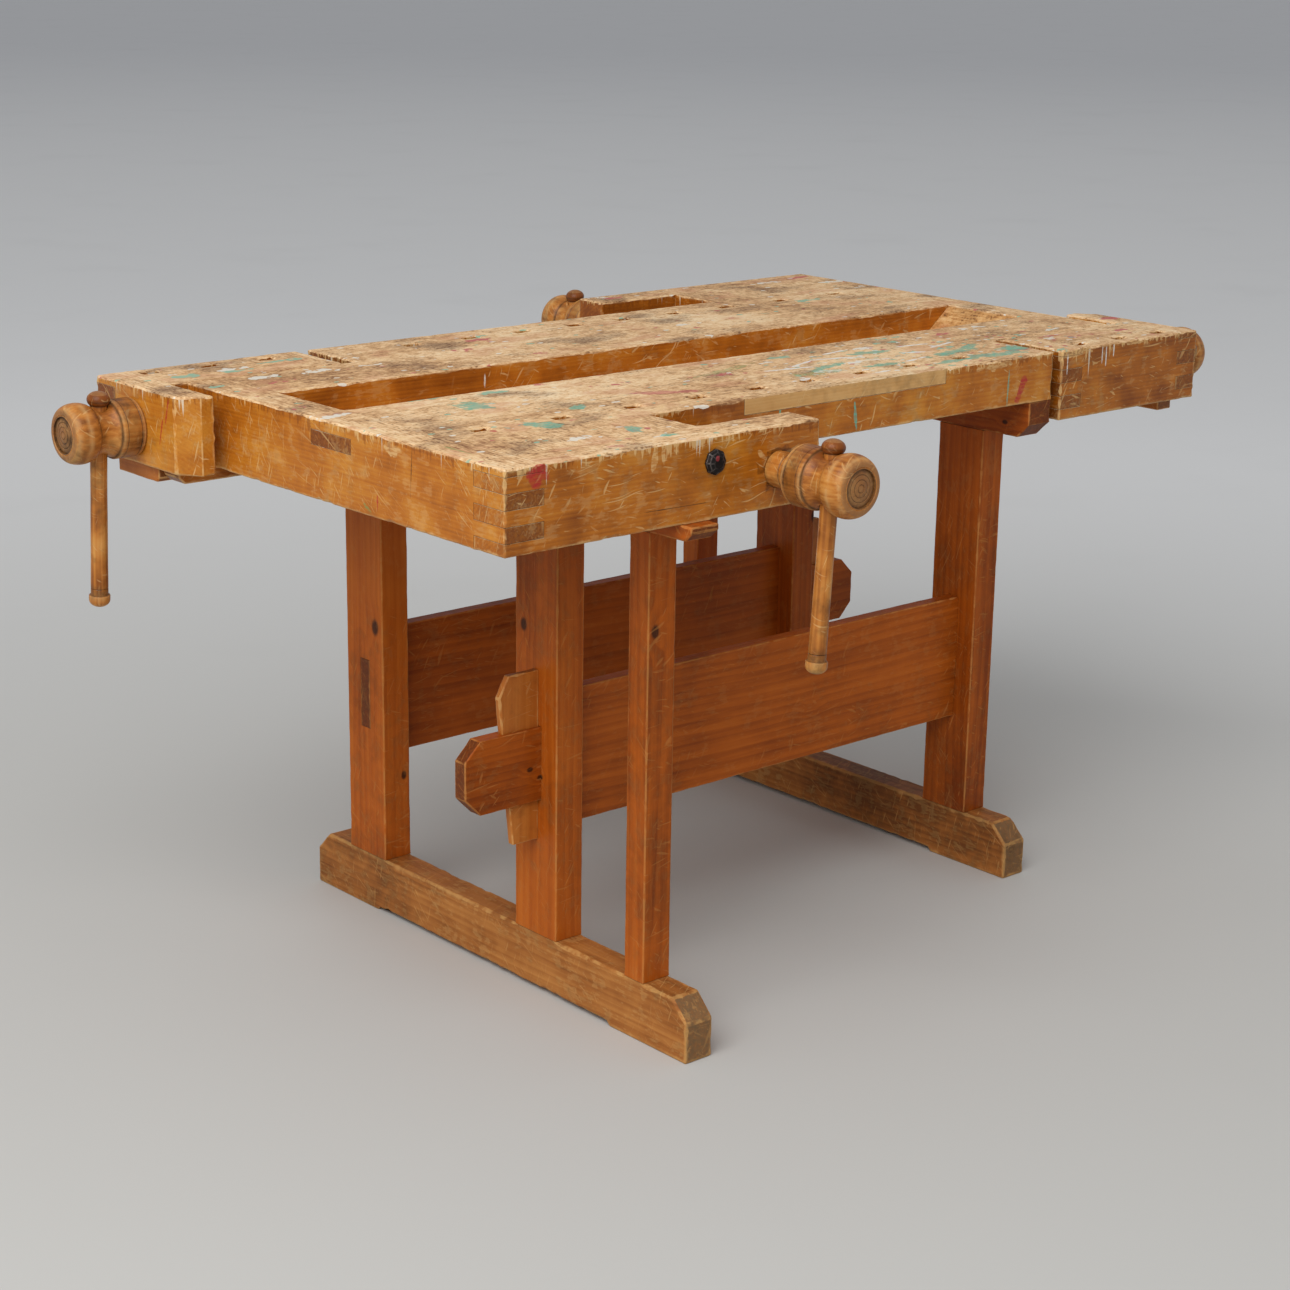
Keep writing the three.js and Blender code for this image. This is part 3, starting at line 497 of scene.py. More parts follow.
@dataclass(frozen=True)
class Wood:
    """A wood with its varnish, wear, knots and paint."""

    name: str
    slot: str
    figure: Figure
    shades: tuple[Colour, Colour, Colour]
    bare: Colour
    end_shade: Colour
    wear_width: float
    wear_share: float
    gloss: float
    coat: float
    scuff: float
    grime: float = 0.3
    # share of the torn fringe at the outer edges, which also carries the painted shadow between its slivers
    torn: float = 0.0
    rub: float = 0.0
    sheen: float = 0.2
    worn_shades: tuple[Colour, ...] = ()
    stain: Colour = (0.0, 0.0, 0.0)
    knots: tuple[Knot, ...] = ()
    paints: tuple[Paint, ...] = ()

    def dress(self) -> bpy.types.Material:
        """Draws the wood's material.

        Returns:
            The material, which reads the attributes that a board or a turning carries.
        """
        sheet = Sheet(self.name)
        place = sheet.place()
        grain = sheet.attribute("grain")
        arris, end, top = sheet.split(sheet.attribute("face"))
        tone, groove_darkening, _ = sheet.split(sheet.attribute("tone"))
        fibre = sheet.noise(grain, (7.0, 240.0, 240.0), 4.0)
        streak = sheet.noise(grain, (1.6, 34.0, 34.0), 3.0)
        fleck = sheet.noise(grain, (70.0, 330.0, 330.0), 4.0)
        patch = sheet.noise(place, (4.0, 4.0, 4.0), 3.0)
        cloud = sheet.noise(place, (21.0, 21.0, 21.0), 3.0)
        rough = sheet.noise(place, (62.0, 62.0, 62.0), 4.0)
        fine = sheet.noise(place, (240.0, 240.0, 240.0), 3.0)
        cores, halos = self._knots(sheet, place)
        rings = self._rings(sheet, grain, halos)
        figure = self.figure
        shade = (
            0.5
            + tone
            + (rings - 0.4) * figure.ring_share
            + (fibre - 0.5) * figure.fibre_share
            + (streak - 0.5) * figure.streak_share
            + (patch - 0.5) * figure.patch_share
            + (cloud - 0.5) * figure.cloud_share
        )
        colour = sheet.ramp(shade, list(zip((0.15, 0.5, 0.85), self.shades)))
        colour = sheet.blend(end * (0.8 + (fine - 0.5) * 1.0), colour, self.end_shade)
        if cores is not None:
            colour = sheet.blend(cores * 0.9, colour, tint(52, 26, 14))
        wear = self._wear(sheet, place, rough, patch, arris.high(0.0))
        scratch = self._scratches(sheet, place, patch)
        rubbed = (rough * 0.55 + fleck * 0.35 + cloud * 0.35).step(0.65, 0.74)
        colour = sheet.blend(rubbed * self.rub, colour, self.bare)
        colour = sheet.blend(wear * self.wear_share, colour, self.bare)
        colour = sheet.blend(scratch * self.scuff, colour, self.bare)
        # soil adds random grime and the darker colour that turnings carry in their grooves and end rings.
        soil = (rough * 0.6 + patch * 0.7).step(0.62, 0.9) * self.grime + groove_darkening * (0.4 + fine * 0.6)
        colour = sheet.blend(soil, colour, tint(58, 36, 20))
        dull = wear.high(scratch)
        if self.worn_shades:
            noises = (fibre, fleck, streak, patch, rough, fine, top)
            colour, dull = self._worn(sheet, place, colour, dull, noises)
        colour = sheet.blend((arris * -0.4).high(0.0), colour, tint(48, 28, 14))
        for paint in self.paints:
            colour, mask = paint.lay(sheet, colour, place, rough, fleck)
            place = sheet.after(place, mask)
        roughness = self.gloss + dull * (0.72 - self.gloss) + (rough - 0.5) * 0.16 + (fibre - 0.5) * 0.1
        height = fibre * 0.3 - scratch * 0.2 + fine * 0.12 + rough * 0.35 + fleck * top * 0.5
        shader = {
            "Base Color": colour,
            "Roughness": roughness,
            "Coat Weight": (1 - dull) * self.coat,
            "Coat Roughness": 0.22,
            "IOR": 1.5,
            "Specular IOR Level": self.sheen,
        }
        return sheet.finish(shader, height, 0.0011)

    def _rings(self, sheet: Sheet, grain: bpy.types.NodeSocket, halos: Union[Value, None]) -> Value:
        """Growth rings about the heart of the tree, bent round the knots.

        Args:
            sheet: The sheet to draw on.
            grain: The place along, across and through the fibres.
            halos: The knots' surroundings.

        Returns:
            1 in late wood and 0 in early wood.
        """
        _, across, through = sheet.split(grain)
        drift = sheet.noise(grain, (1.3, 6.0, 6.0), 2.0)
        radius = (across * across + through * through) ** 0.5
        radius = radius + (drift - 0.5) * self.figure.ring_drift
        if halos is not None:
            radius = radius + halos * 0.012
        ring = (radius / self.figure.ring_pitch).fract()
        return ring.step(0.1, 0.86) * ring.step(1.0, 0.9)

    def _knots(
        self, sheet: Sheet, place: bpy.types.NodeSocket
    ) -> tuple[Union[Value, None], Union[Value, None]]:
        """The knots' dark cores and their surroundings, or nothing for a clear wood."""
        cores, halos = None, None
        for knot in self.knots:
            reach = knot.reach(sheet, place)
            core, halo = reach.step(1.15, 0.55), reach.step(4.0, 0.4)
            cores = core if cores is None else cores.high(core)
            halos = halo if halos is None else halos.high(halo)
        return cores, halos

    def _wear(
        self, sheet: Sheet, place: bpy.types.NodeSocket, rough: Value, patch: Value, arris: Value
    ) -> Value:
        """Bare wood along the arrises.

        Args:
            sheet: The sheet to draw on.
            place: Object coordinates.
            rough: Fine noise.
            patch: Broad noise.
            arris: 1 on a rounded arris.

        Returns:
            1 where the finish is gone.
        """
        before = sheet.split(sheet.attribute("before"))
        beyond = sheet.split(sheet.attribute("beyond"))
        first, second, third = (a.low(b) for a, b in zip(before, beyond))
        edge = first.low(second).high(first.high(second).low(third))
        frayed = edge + (rough - 0.5) * (self.wear_width * 2.4)
        broad = sheet.noise(place, (13.0, 13.0, 13.0), 3.0).step(0.36, 0.62)
        return (frayed.step(self.wear_width, 0.0) * broad).high(arris * (rough + patch * 0.5).step(0.6, 0.88))

    def _scratches(self, sheet: Sheet, place: bpy.types.NodeSocket, patch: Value) -> Value:
        """Fine bent scratches in three ways, with gaps between them.

        Args:
            sheet: The sheet to draw on.
            place: Object coordinates.
            patch: Broad noise, which leaves some stretches whole.

        Returns:
            1 in a scratch.
        """
        bent = sheet.bent(place, 9.0, 0.035)
        found = None
        ways = (
            ((0.3, 0.5, 0.6), 26.0, 0.665),
            ((1.2, -0.4, 2.1), 15.0, 0.685),
            ((2.0, 0.8, -0.7), 44.0, 0.67),
        )
        for turn, length, least in ways:
            turned = sheet.moved(bent, (0.0, 0.0, 0.0), turn, (1.0, 1.0, 1.0))
            nick = sheet.noise(turned, (length, 340.0, length), 1.0).step(least, least + 0.07)
            found = nick if found is None else found.high(nick)
        return found * patch.step(0.34, 0.54)

    def _worn(
        self,
        sheet: Sheet,
        place: bpy.types.NodeSocket,
        colour: bpy.types.NodeSocket,
        dull: Value,
        noises: tuple[Value, ...],
    ) -> tuple[bpy.types.NodeSocket, Value]:
        """Bare, stained wood on the faces that are worked on, torn slivers with painted shadow between them,
        and drips on the faces below.

        Args:
            sheet: The sheet to draw on.
            place: Object coordinates.
            colour: The varnished colour.
            dull: Where the varnish is gone.
            noises: Fibre, fleck, streak, patch, rough and fine noise, and 1 on faces that look up.

        Returns:
            The colour and where there is no varnish.
        """
        fibre, fleck, streak, patch, rough, fine, top = noises
        shade = 0.5 + (fleck - 0.5) * 0.9 + (fine - 0.5) * 0.6 + (fibre - 0.5) * 0.4
        shade = shade + (streak - 0.5) * 0.5 + (rough - 0.5) * 0.7 + (patch - 0.5) * 0.9
        worn = sheet.ramp(shade, list(zip((0.14, 0.4, 0.6, 0.86), self.worn_shades)))
        smear = sheet.noise(place, (9.0, 15.0, 15.0), 7.0)
        worn = sheet.blend(smear.step(0.52, 0.70) * (0.15 + fleck * 0.75), worn, self.stain)
        worn = sheet.blend(smear.step(0.45, 0.34) * (0.1 + fleck * 0.4), worn, tint(194, 126, 98))
        specks = (fleck * 0.6 + fine * 0.5 - smear * 0.5).step(0.23, 0.13)
        worn = sheet.blend(specks * 0.6, worn, tint(92, 60, 38))
        flakes = (streak * 0.4 + rough * 0.6).step(0.55, 0.66)
        worn = sheet.blend(flakes * 0.35, worn, self.bare)
        if self.paints:
            worn = self._splashes(sheet, place, worn, rough)
        colour = sheet.blend(top, colour, worn)
        below = 1 - top
        across, depth, height = sheet.split(place)
        drop = TOP_HEIGHT - height
        outside = across.size().step(0.66, 0.68).high(depth.size().step(0.2, 0.25))
        comb = sheet.noise(place, (250.0, 250.0, 17.0), 2.0)
        ragged = comb * 0.9 + rough * 0.6 + (patch - 0.5) * 0.6
        share = below * outside * self.torn
        fringe = (ragged - drop * 15.0).step(0.74, 0.82) * share
        # Painted shadow: the dark gaps between the torn slivers are painted in the wood's darkest shade, not
        # cast by any lamp.
        painted_sliver_shadow = (1.5 - ragged - drop * 13.0).step(0.74, 0.82) * share
        colour = sheet.blend(painted_sliver_shadow * 0.6, colour, self.shades[0])
        colour = sheet.blend(fringe * 0.75, colour, self.bare)
        drip = (sheet.noise(place, (120.0, 120.0, 2.0), 1.0) - drop * 2.4).step(0.68, 0.71)
        drip = drip * share * drop.step(0.09, 0.06)
        colour = sheet.blend(drip * 0.7, colour, tint(224, 214, 192))
        return colour, dull.high(top).high(fringe).high(drip)

    def _splashes(
        self,
        sheet: Sheet,
        place: bpy.types.NodeSocket,
        under: bpy.types.NodeSocket,
        rough: Value,
    ) -> bpy.types.NodeSocket:
        """Scattered small splashes of paint, white or coloured.

        Args:
            sheet: The sheet to draw on.
            place: Object coordinates.
            under: The colour below.
            rough: Noise that frays the rims.

        Returns:
            The splashed colour.
        """
        busy = Spot((290.0, -215.0, 800.0), (270.0, 120.0, 12.0)).mask(sheet, place, rough * 2.0 - 1.0)
        for factors, share in (((12.0, 36.0, 20.0), 0.80), ((58.0, 105.0, 80.0), 0.88)):
            reach, chance, hue = sheet.dots(place, factors)
            splash = (reach + (rough - 0.5) * 1.4).step(0.28, 0.22)
            splash = splash * (chance + busy * 0.5).step(share, share + 0.02)
            paint = sheet.blend(hue.step(0.45, 0.47), tint(228, 222, 208), tint(142, 182, 156))
            paint = sheet.blend(hue.step(0.78, 0.8), paint, tint(190, 98, 96))
            under = sheet.blend(splash * 0.85, under, paint)
        return under


@dataclass(frozen=True)
class Iron:
    """Blackened iron, rubbed bare on its high places."""

    name: str
    slot: str
    skin: Colour
    rubbed: Colour
    rust: Colour
    paint: Paint

    def dress(self) -> bpy.types.Material:
        """Draws the iron's material.

        Returns:
            The material.
        """
        sheet = Sheet(self.name)
        place = sheet.place()
        arris, _, _ = sheet.split(sheet.attribute("face"))
        rough = sheet.noise(place, (160.0, 160.0, 160.0), 4.0)
        pits = sheet.noise(place, (420.0, 420.0, 420.0), 3.0)
        colour = sheet.blend(rough.step(0.5, 0.75) * 0.6, self.skin, self.rust)
        rubbed = (arris * rough.step(0.35, 0.6)).high(pits.step(0.62, 0.72) * 0.3)
        colour = sheet.blend(rubbed, colour, self.rubbed)
        colour, mask = self.paint.lay(sheet, colour, place, rough, pits)
        shader = {
            "Base Color": colour,
            "Metallic": (1 - mask) * 0.75,
            "Roughness": 0.62 - rubbed * 0.25 + (pits - 0.5) * 0.2,
        }
        return sheet.finish(shader, rough * 0.6 + pits * 0.4, 0.0012)


FLAT = 3.0  # half thickness of a spot on a face, in millimetres


def on_top(x: float, y: float, half_x: float, half_y: float, turn: float = 0.0) -> Spot:
    """A spot on the worktop."""
    return Spot((x, y, 800.0), (half_x, half_y, FLAT), (0.0, 0.0, turn))


def on_front(x: float, z: float, y: float, half_x: float, half_z: float, turn: float = 0.0) -> Spot:
    """A spot on a face that looks to the front."""
    return Spot((x, y, z), (half_x, FLAT, half_z), (0.0, turn, 0.0))


def on_end(y: float, z: float, x: float, half_y: float, half_z: float, turn: float = 0.0) -> Spot:
    """A spot on a face that looks to the left."""
    return Spot((x, y, z), (FLAT, half_y, half_z), (turn, 0.0, 0.0))


TURQUOISE = Paint(
    tint(112, 172, 148),
    (
        on_top(-491, -150, 24, 30, 20),
        on_top(-522, -68, 30, 16),
        on_top(-500, -296, 22, 26, 40),
        on_top(-393, -235, 18, 12, 30),
        on_top(-416, -435, 16, 9),
        on_top(-424, -383, 20, 12, 50),
        on_top(340, -286, 70, 15, -6),
        on_top(70, -214, 52, 10, 14),
        on_top(208, -168, 46, 9, -10),
        on_front(21.5, 754, -322, 2.9, 24, -6.5),
        on_front(330, 760, -322, 1.6, 32, 2),
        on_front(-120, 775, -322, 2.0, 14, 3),
        on_top(300, -236, 60, 14, 10),
        on_top(402, -262, 34, 16, -12),
        on_top(254, -286, 40, 9, 5),
        on_top(352, -222, 44, 12, 22),
        on_top(150, -248, 38, 9, -6),
    ),
    0.92,
    2.4,
    0.4,
)
PINK = Paint(
    tint(188, 92, 96),
    (on_top(-246, -219, 48, 10, -26), on_top(-206, -236, 22, 9, -12)),
    0.75,
    1.7,
    0.5,
)
WHITE = Paint(
    tint(232, 228, 220),
    (
        on_top(-29, -265, 26, 3.5, 8),
        on_top(161, -211, 34, 3.0, -12),
        on_top(336, -183, 40, 4.0, 14),
        on_top(103, -287, 22, 3.0, 4),
        on_top(168, -135, 40, 3.0, 10),
        on_top(262, -205, 26, 5.0, -18),
        on_top(60, -176, 30, 2.6, 20),
        on_top(20, -196, 44, 4.0, -10),
        on_top(128, -172, 36, 4.5, -14),
        on_top(214, -246, 30, 4.0, 12),
        on_top(300, -160, 46, 3.5, -6),
        on_front(458, 776, -322, 1.8, 17),
        on_front(536, 784, -322, 1.6, 11),
        on_front(545, 779, -322, 1.8, 15),
        on_front(562, 788, -322, 1.6, 9),
        Spot((-300, 75, 780), (2.2, FLAT, 12)),
    ),
    0.95,
    2.4,
    0.3,
)
RED = Paint(
    tint(176, 34, 42),
    (
        on_top(538, -225, 22, 4, -8),
        on_top(-568, -290, 7, 6),
        on_front(358, 752, -322, 8.0, 20, 26),
        on_front(-647, 788, -471, 17, 16, 20),
        on_end(-224, 717, -693, 1.6, 12),
        on_end(159, 753, -759.5, 1.7, 19, 16),
        on_end(145, 775, -759.5, 1.7, 19, 16),
    ),
    0.85,
    2.2,
    0.35,
)
GREEN = Paint(
    tint(122, 148, 84),
    (
        on_top(-670, -362, 2.5, 40),
        on_top(-60, -150, 70, 8, 16),
        on_top(30, -240, 60, 12, -8),
        on_end(-203, 706, -693, 10, 3, 35),
    ),
    0.6,
    2.4,
    0.8,
)
CRACK = Paint(
    tint(44, 26, 14),
    (
        on_end(-293.5, 766, -693, 0.9, 30, 4),
        on_end(210, 752, -693, 0.8, 34, 2),
        on_top(-20, -120, 130, 1.0, 0.6),
        on_top(-330, -208, 90, 0.9, -0.5),
        on_front(-430, 720, -471, 60, 0.8, 1),
        on_front(-267, 746, -471, 30, 29),
    ),
    0.75,
    1.8,
    0.3,
)
SPLINTER = Paint(
    tint(222, 180, 120),
    (
        on_front(-468, 782, -471, 5, 19, 8),
        on_front(-455, 786, -471, 3, 13, -4),
        on_front(-292, 764, -471, 12, 3, 40),
        on_front(-240, 722, -471, 11, 2.5, -30),
        on_front(160, 793, -322, 30, 3),
        on_front(300, 792, -322, 36, 5),
        on_front(470, 793, -322, 36, 6),
        on_front(610, 796, -322, 26, 3),
        on_end(-258, 787, -693, 24, 7),
    ),
    0.75,
    3.2,
    0.6,
)

BENCH_FIGURE = Figure(0.0052, 0.016, 0.07, 0.35, 0.45, 0.8, 0.85)
PINE_FIGURE = Figure(0.0125, 0.065, 0.10, 0.30, 0.55, 0.6, 0.3)

BENCH_WOOD = Wood(
    name="varnished_bench_wood",
    slot="varnished",
    figure=BENCH_FIGURE,
    shades=(tint(132, 68, 14), tint(183, 106, 26), tint(208, 138, 48)),
    bare=tint(226, 184, 124),
    end_shade=tint(118, 62, 22),
    wear_width=0.0045,
    wear_share=0.75,
    gloss=0.36,
    coat=0.12,
    scuff=0.6,
    torn=1.0,
    rub=0.2,
    worn_shades=(tint(146, 102, 66), tint(204, 160, 113), tint(232, 193, 146), tint(244, 220, 182)),
    stain=tint(128, 98, 76),
    paints=(SPLINTER, GREEN, TURQUOISE, PINK, RED, WHITE, CRACK),
)
TOP_WOOD = replace(BENCH_WOOD, slot="worn_top")
TRAY_WOOD = Wood(
    name="tray_wood",
    slot="worn_top",
    figure=BENCH_FIGURE,
    shades=(tint(146, 88, 36), tint(184, 120, 58), tint(206, 150, 84)),
    bare=tint(218, 178, 120),
    end_shade=tint(120, 74, 38),
    wear_width=0.003,
    wear_share=0.5,
    gloss=0.6,
    coat=0.0,
    scuff=0.3,
    worn_shades=(tint(158, 106, 58), tint(196, 142, 84), tint(216, 167, 109), tint(230, 192, 138)),
    stain=tint(150, 108, 66),
)
PINE_KNOTS = (
    Knot((-424, 168, 427), Grain.Z, 9),
    Knot((-424, -168, 507), Grain.Z, 7),
    Knot((-413, -414, 549), Grain.Z, 7),
    Knot((72, -216, 303), Grain.X, 7),
    Knot((424, 149, 469), Grain.Z, 8),
    Knot((-390, 151, 205), Grain.Z, 5),
    Knot((-443, -205, 320), Grain.X, 4),
    Knot((-426, -205, 306), Grain.X, 4),
    Knot((-424, -172, 312), Grain.Z, 6),
    Knot((380, -277, 696), Grain.Y, 4),
    Knot((424, -150, 190), Grain.Z, 9),
    Knot((-160, 216, 350), Grain.X, 9),
    Knot((250, 216, 282), Grain.X, 6),
    Knot((-260, -216, 384), Grain.X, 5),
    Knot((413, 414, 360), Grain.Z, 7),
    Knot((424, 214, 560), Grain.Z, 7),
)
TRESTLE_PINE = Wood(
    name="trestle_pine_stained",
    slot="trestle_pine",
    figure=PINE_FIGURE,
    shades=(tint(200, 110, 34), tint(177, 88, 21), tint(126, 56, 13)),
    bare=tint(206, 142, 78),
    end_shade=tint(98, 50, 22),
    wear_width=0.0026,
    wear_share=0.6,
    gloss=0.46,
    coat=0.03,
    scuff=0.3,
    rub=0.12,
    sheen=0.12,
    knots=PINE_KNOTS,
)
FOOT_PINE = Wood(
    name="foot_pine_scuffed",
    slot="foot_pine",
    figure=Figure(0.0105, 0.055, 0.14, 0.45, 0.55, 0.8, 0.8),
    shades=(tint(190, 126, 62), tint(164, 100, 44), tint(122, 70, 28)),
    bare=tint(214, 162, 96),
    end_shade=tint(120, 92, 62),
    wear_width=0.006,
    wear_share=0.6,
    gloss=0.6,
    coat=0.0,
    scuff=0.4,
    grime=0.45,
    rub=0.3,
)
TURNED_BEECH = Wood(
    name="turned_beech_handled",
    slot="turned_beech",
    figure=Figure(0.0045, 0.008, 0.08, 0.70, 0.60, 0.7, 1.3),
    shades=(tint(130, 70, 24), tint(184, 115, 48), tint(210, 150, 78)),
    bare=tint(222, 176, 116),
    end_shade=tint(154, 104, 60),
    wear_width=0.002,
    wear_share=0.6,
    gloss=0.4,
    coat=0.1,
    scuff=0.5,
    grime=0.6,
)
WEDGE_WOOD = Wood(
    name="wedge_wood",
    slot="wedge_wood",
    figure=PINE_FIGURE,
    shades=(tint(206, 130, 54), tint(184, 106, 38), tint(148, 80, 26)),
    bare=tint(222, 172, 108),
    end_shade=tint(126, 76, 38),
    wear_width=0.002,
    wear_share=0.7,
    gloss=0.5,
    coat=0.1,
    scuff=0.3,
)
PALE_REPAIR = Wood(
    name="pale_repair_wood",
    slot="pale_repair",
    figure=Figure(0.0040, 0.006, 0.08, 0.30, 0.35, 0.5, 0.5),
    shades=(tint(186, 128, 66), tint(212, 160, 96), tint(226, 182, 122)),
    bare=tint(228, 194, 140),
    end_shade=tint(150, 106, 56),
    wear_width=0.002,
    wear_share=0.5,
    gloss=0.55,
    coat=0.05,
    scuff=0.3,
    worn_shades=(tint(156, 112, 74), tint(200, 158, 110), tint(222, 186, 140), tint(236, 210, 170)),
    stain=tint(136, 104, 78),
)
BLACK_IRON = Iron(
    name="blackened_iron",
    slot="black_iron",
    skin=tint(34, 30, 29),
    rubbed=tint(92, 84, 80),
    rust=tint(64, 42, 32),
    paint=Paint(tint(150, 40, 46), (on_front(-376, 774, -480, 3.2, 4.2, 20),), 0.8, 1.2),
)

Finish = Union[Wood, Iron]


class Dresser:
    """Keeps one material for each finish."""

    def __init__(self) -> None:
        """Starts with none drawn."""
        self._drawn: dict[str, bpy.types.Material] = {}

    def material(self, finish: Finish) -> bpy.types.Material:
        """The material of a finish, drawn on first use."""
        if finish.name not in self._drawn:
            self._drawn[finish.name] = finish.dress()
        return self._drawn[finish.name]


# ---------------------------------------------------------------------------------------------
# Pieces
# ---------------------------------------------------------------------------------------------


def mesh_object(name: str, shape: bmesh.types.BMesh) -> bpy.types.Object:
    """Puts a bmesh into the scene.

    Args:
        name: The piece's name.
        shape: The bmesh, which is freed.

    Returns:
        The object, which sits at the origin.
    """
    mesh = bpy.data.meshes.new(name)
    shape.to_mesh(mesh)
    shape.free()
    piece = bpy.data.objects.new(name, mesh)
    bpy.context.scene.collection.objects.link(piece)
    return piece


def outwards(shape: bmesh.types.BMesh, apart: float = 1e-6) -> None:
    """Merges doubles and turns every face outwards."""
    bmesh.ops.remove_doubles(shape, verts=shape.verts, dist=apart)
    bmesh.ops.recalc_face_normals(shape, faces=shape.faces)


def body_of(node: str) -> str:
    """The body that a CAD node rides on."""
    return frame["nodes"][node]["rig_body"]


def stand_for(piece: bpy.types.Object, node: str, finish: Finish, dresser: Dresser) -> None:
    """Lets a piece ride and stand for a CAD node, in that finish.

    Args:
        piece: The new piece.
        node: The CAD node.
        finish: The piece's finish.
        dresser: Where materials come from.
    """
    piece.data.materials.clear()
    piece.data.materials.append(dresser.material(finish))
    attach(piece, body_of(node))
    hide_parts(node)
    LOG.info("%s: %d faces, rides on %s", piece.name, len(piece.data.polygons), body_of(node))


class Neighbours:
    """Finds which places of a board lie against another piece."""

    def __init__(self, reach: float = 0.0013) -> None:
        """Makes a search tree of each CAD node."""
        self.reach = reach
        self._trees: dict[str, tuple[BVHTree, Vector, Vector]] = {}
        for name, node in frame["nodes"].items():
            spots = [vertex.co for vertex in node.data.vertices]
            faces = [tuple(face.vertices) for face in node.data.polygons]
            self._trees[name] = (BVHTree.FromPolygons(spots, faces), *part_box(name))

    def touch(self, node: str, place: Vector) -> bool:
        """Whether a place of a node lies against another node.

        Args:
            node: The node that the place belongs to.
            place: The place.

        Returns:
            True where another node is within reach.
        """
        for name, (tree, low, high) in self._trees.items():
            if name == node:
                continue
            if any(place[i] < low[i] - self.reach or place[i] > high[i] + self.reach for i in range(3)):
                continue
            if tree.find_nearest(place, self.reach)[0] is not None:
                return True
        return False


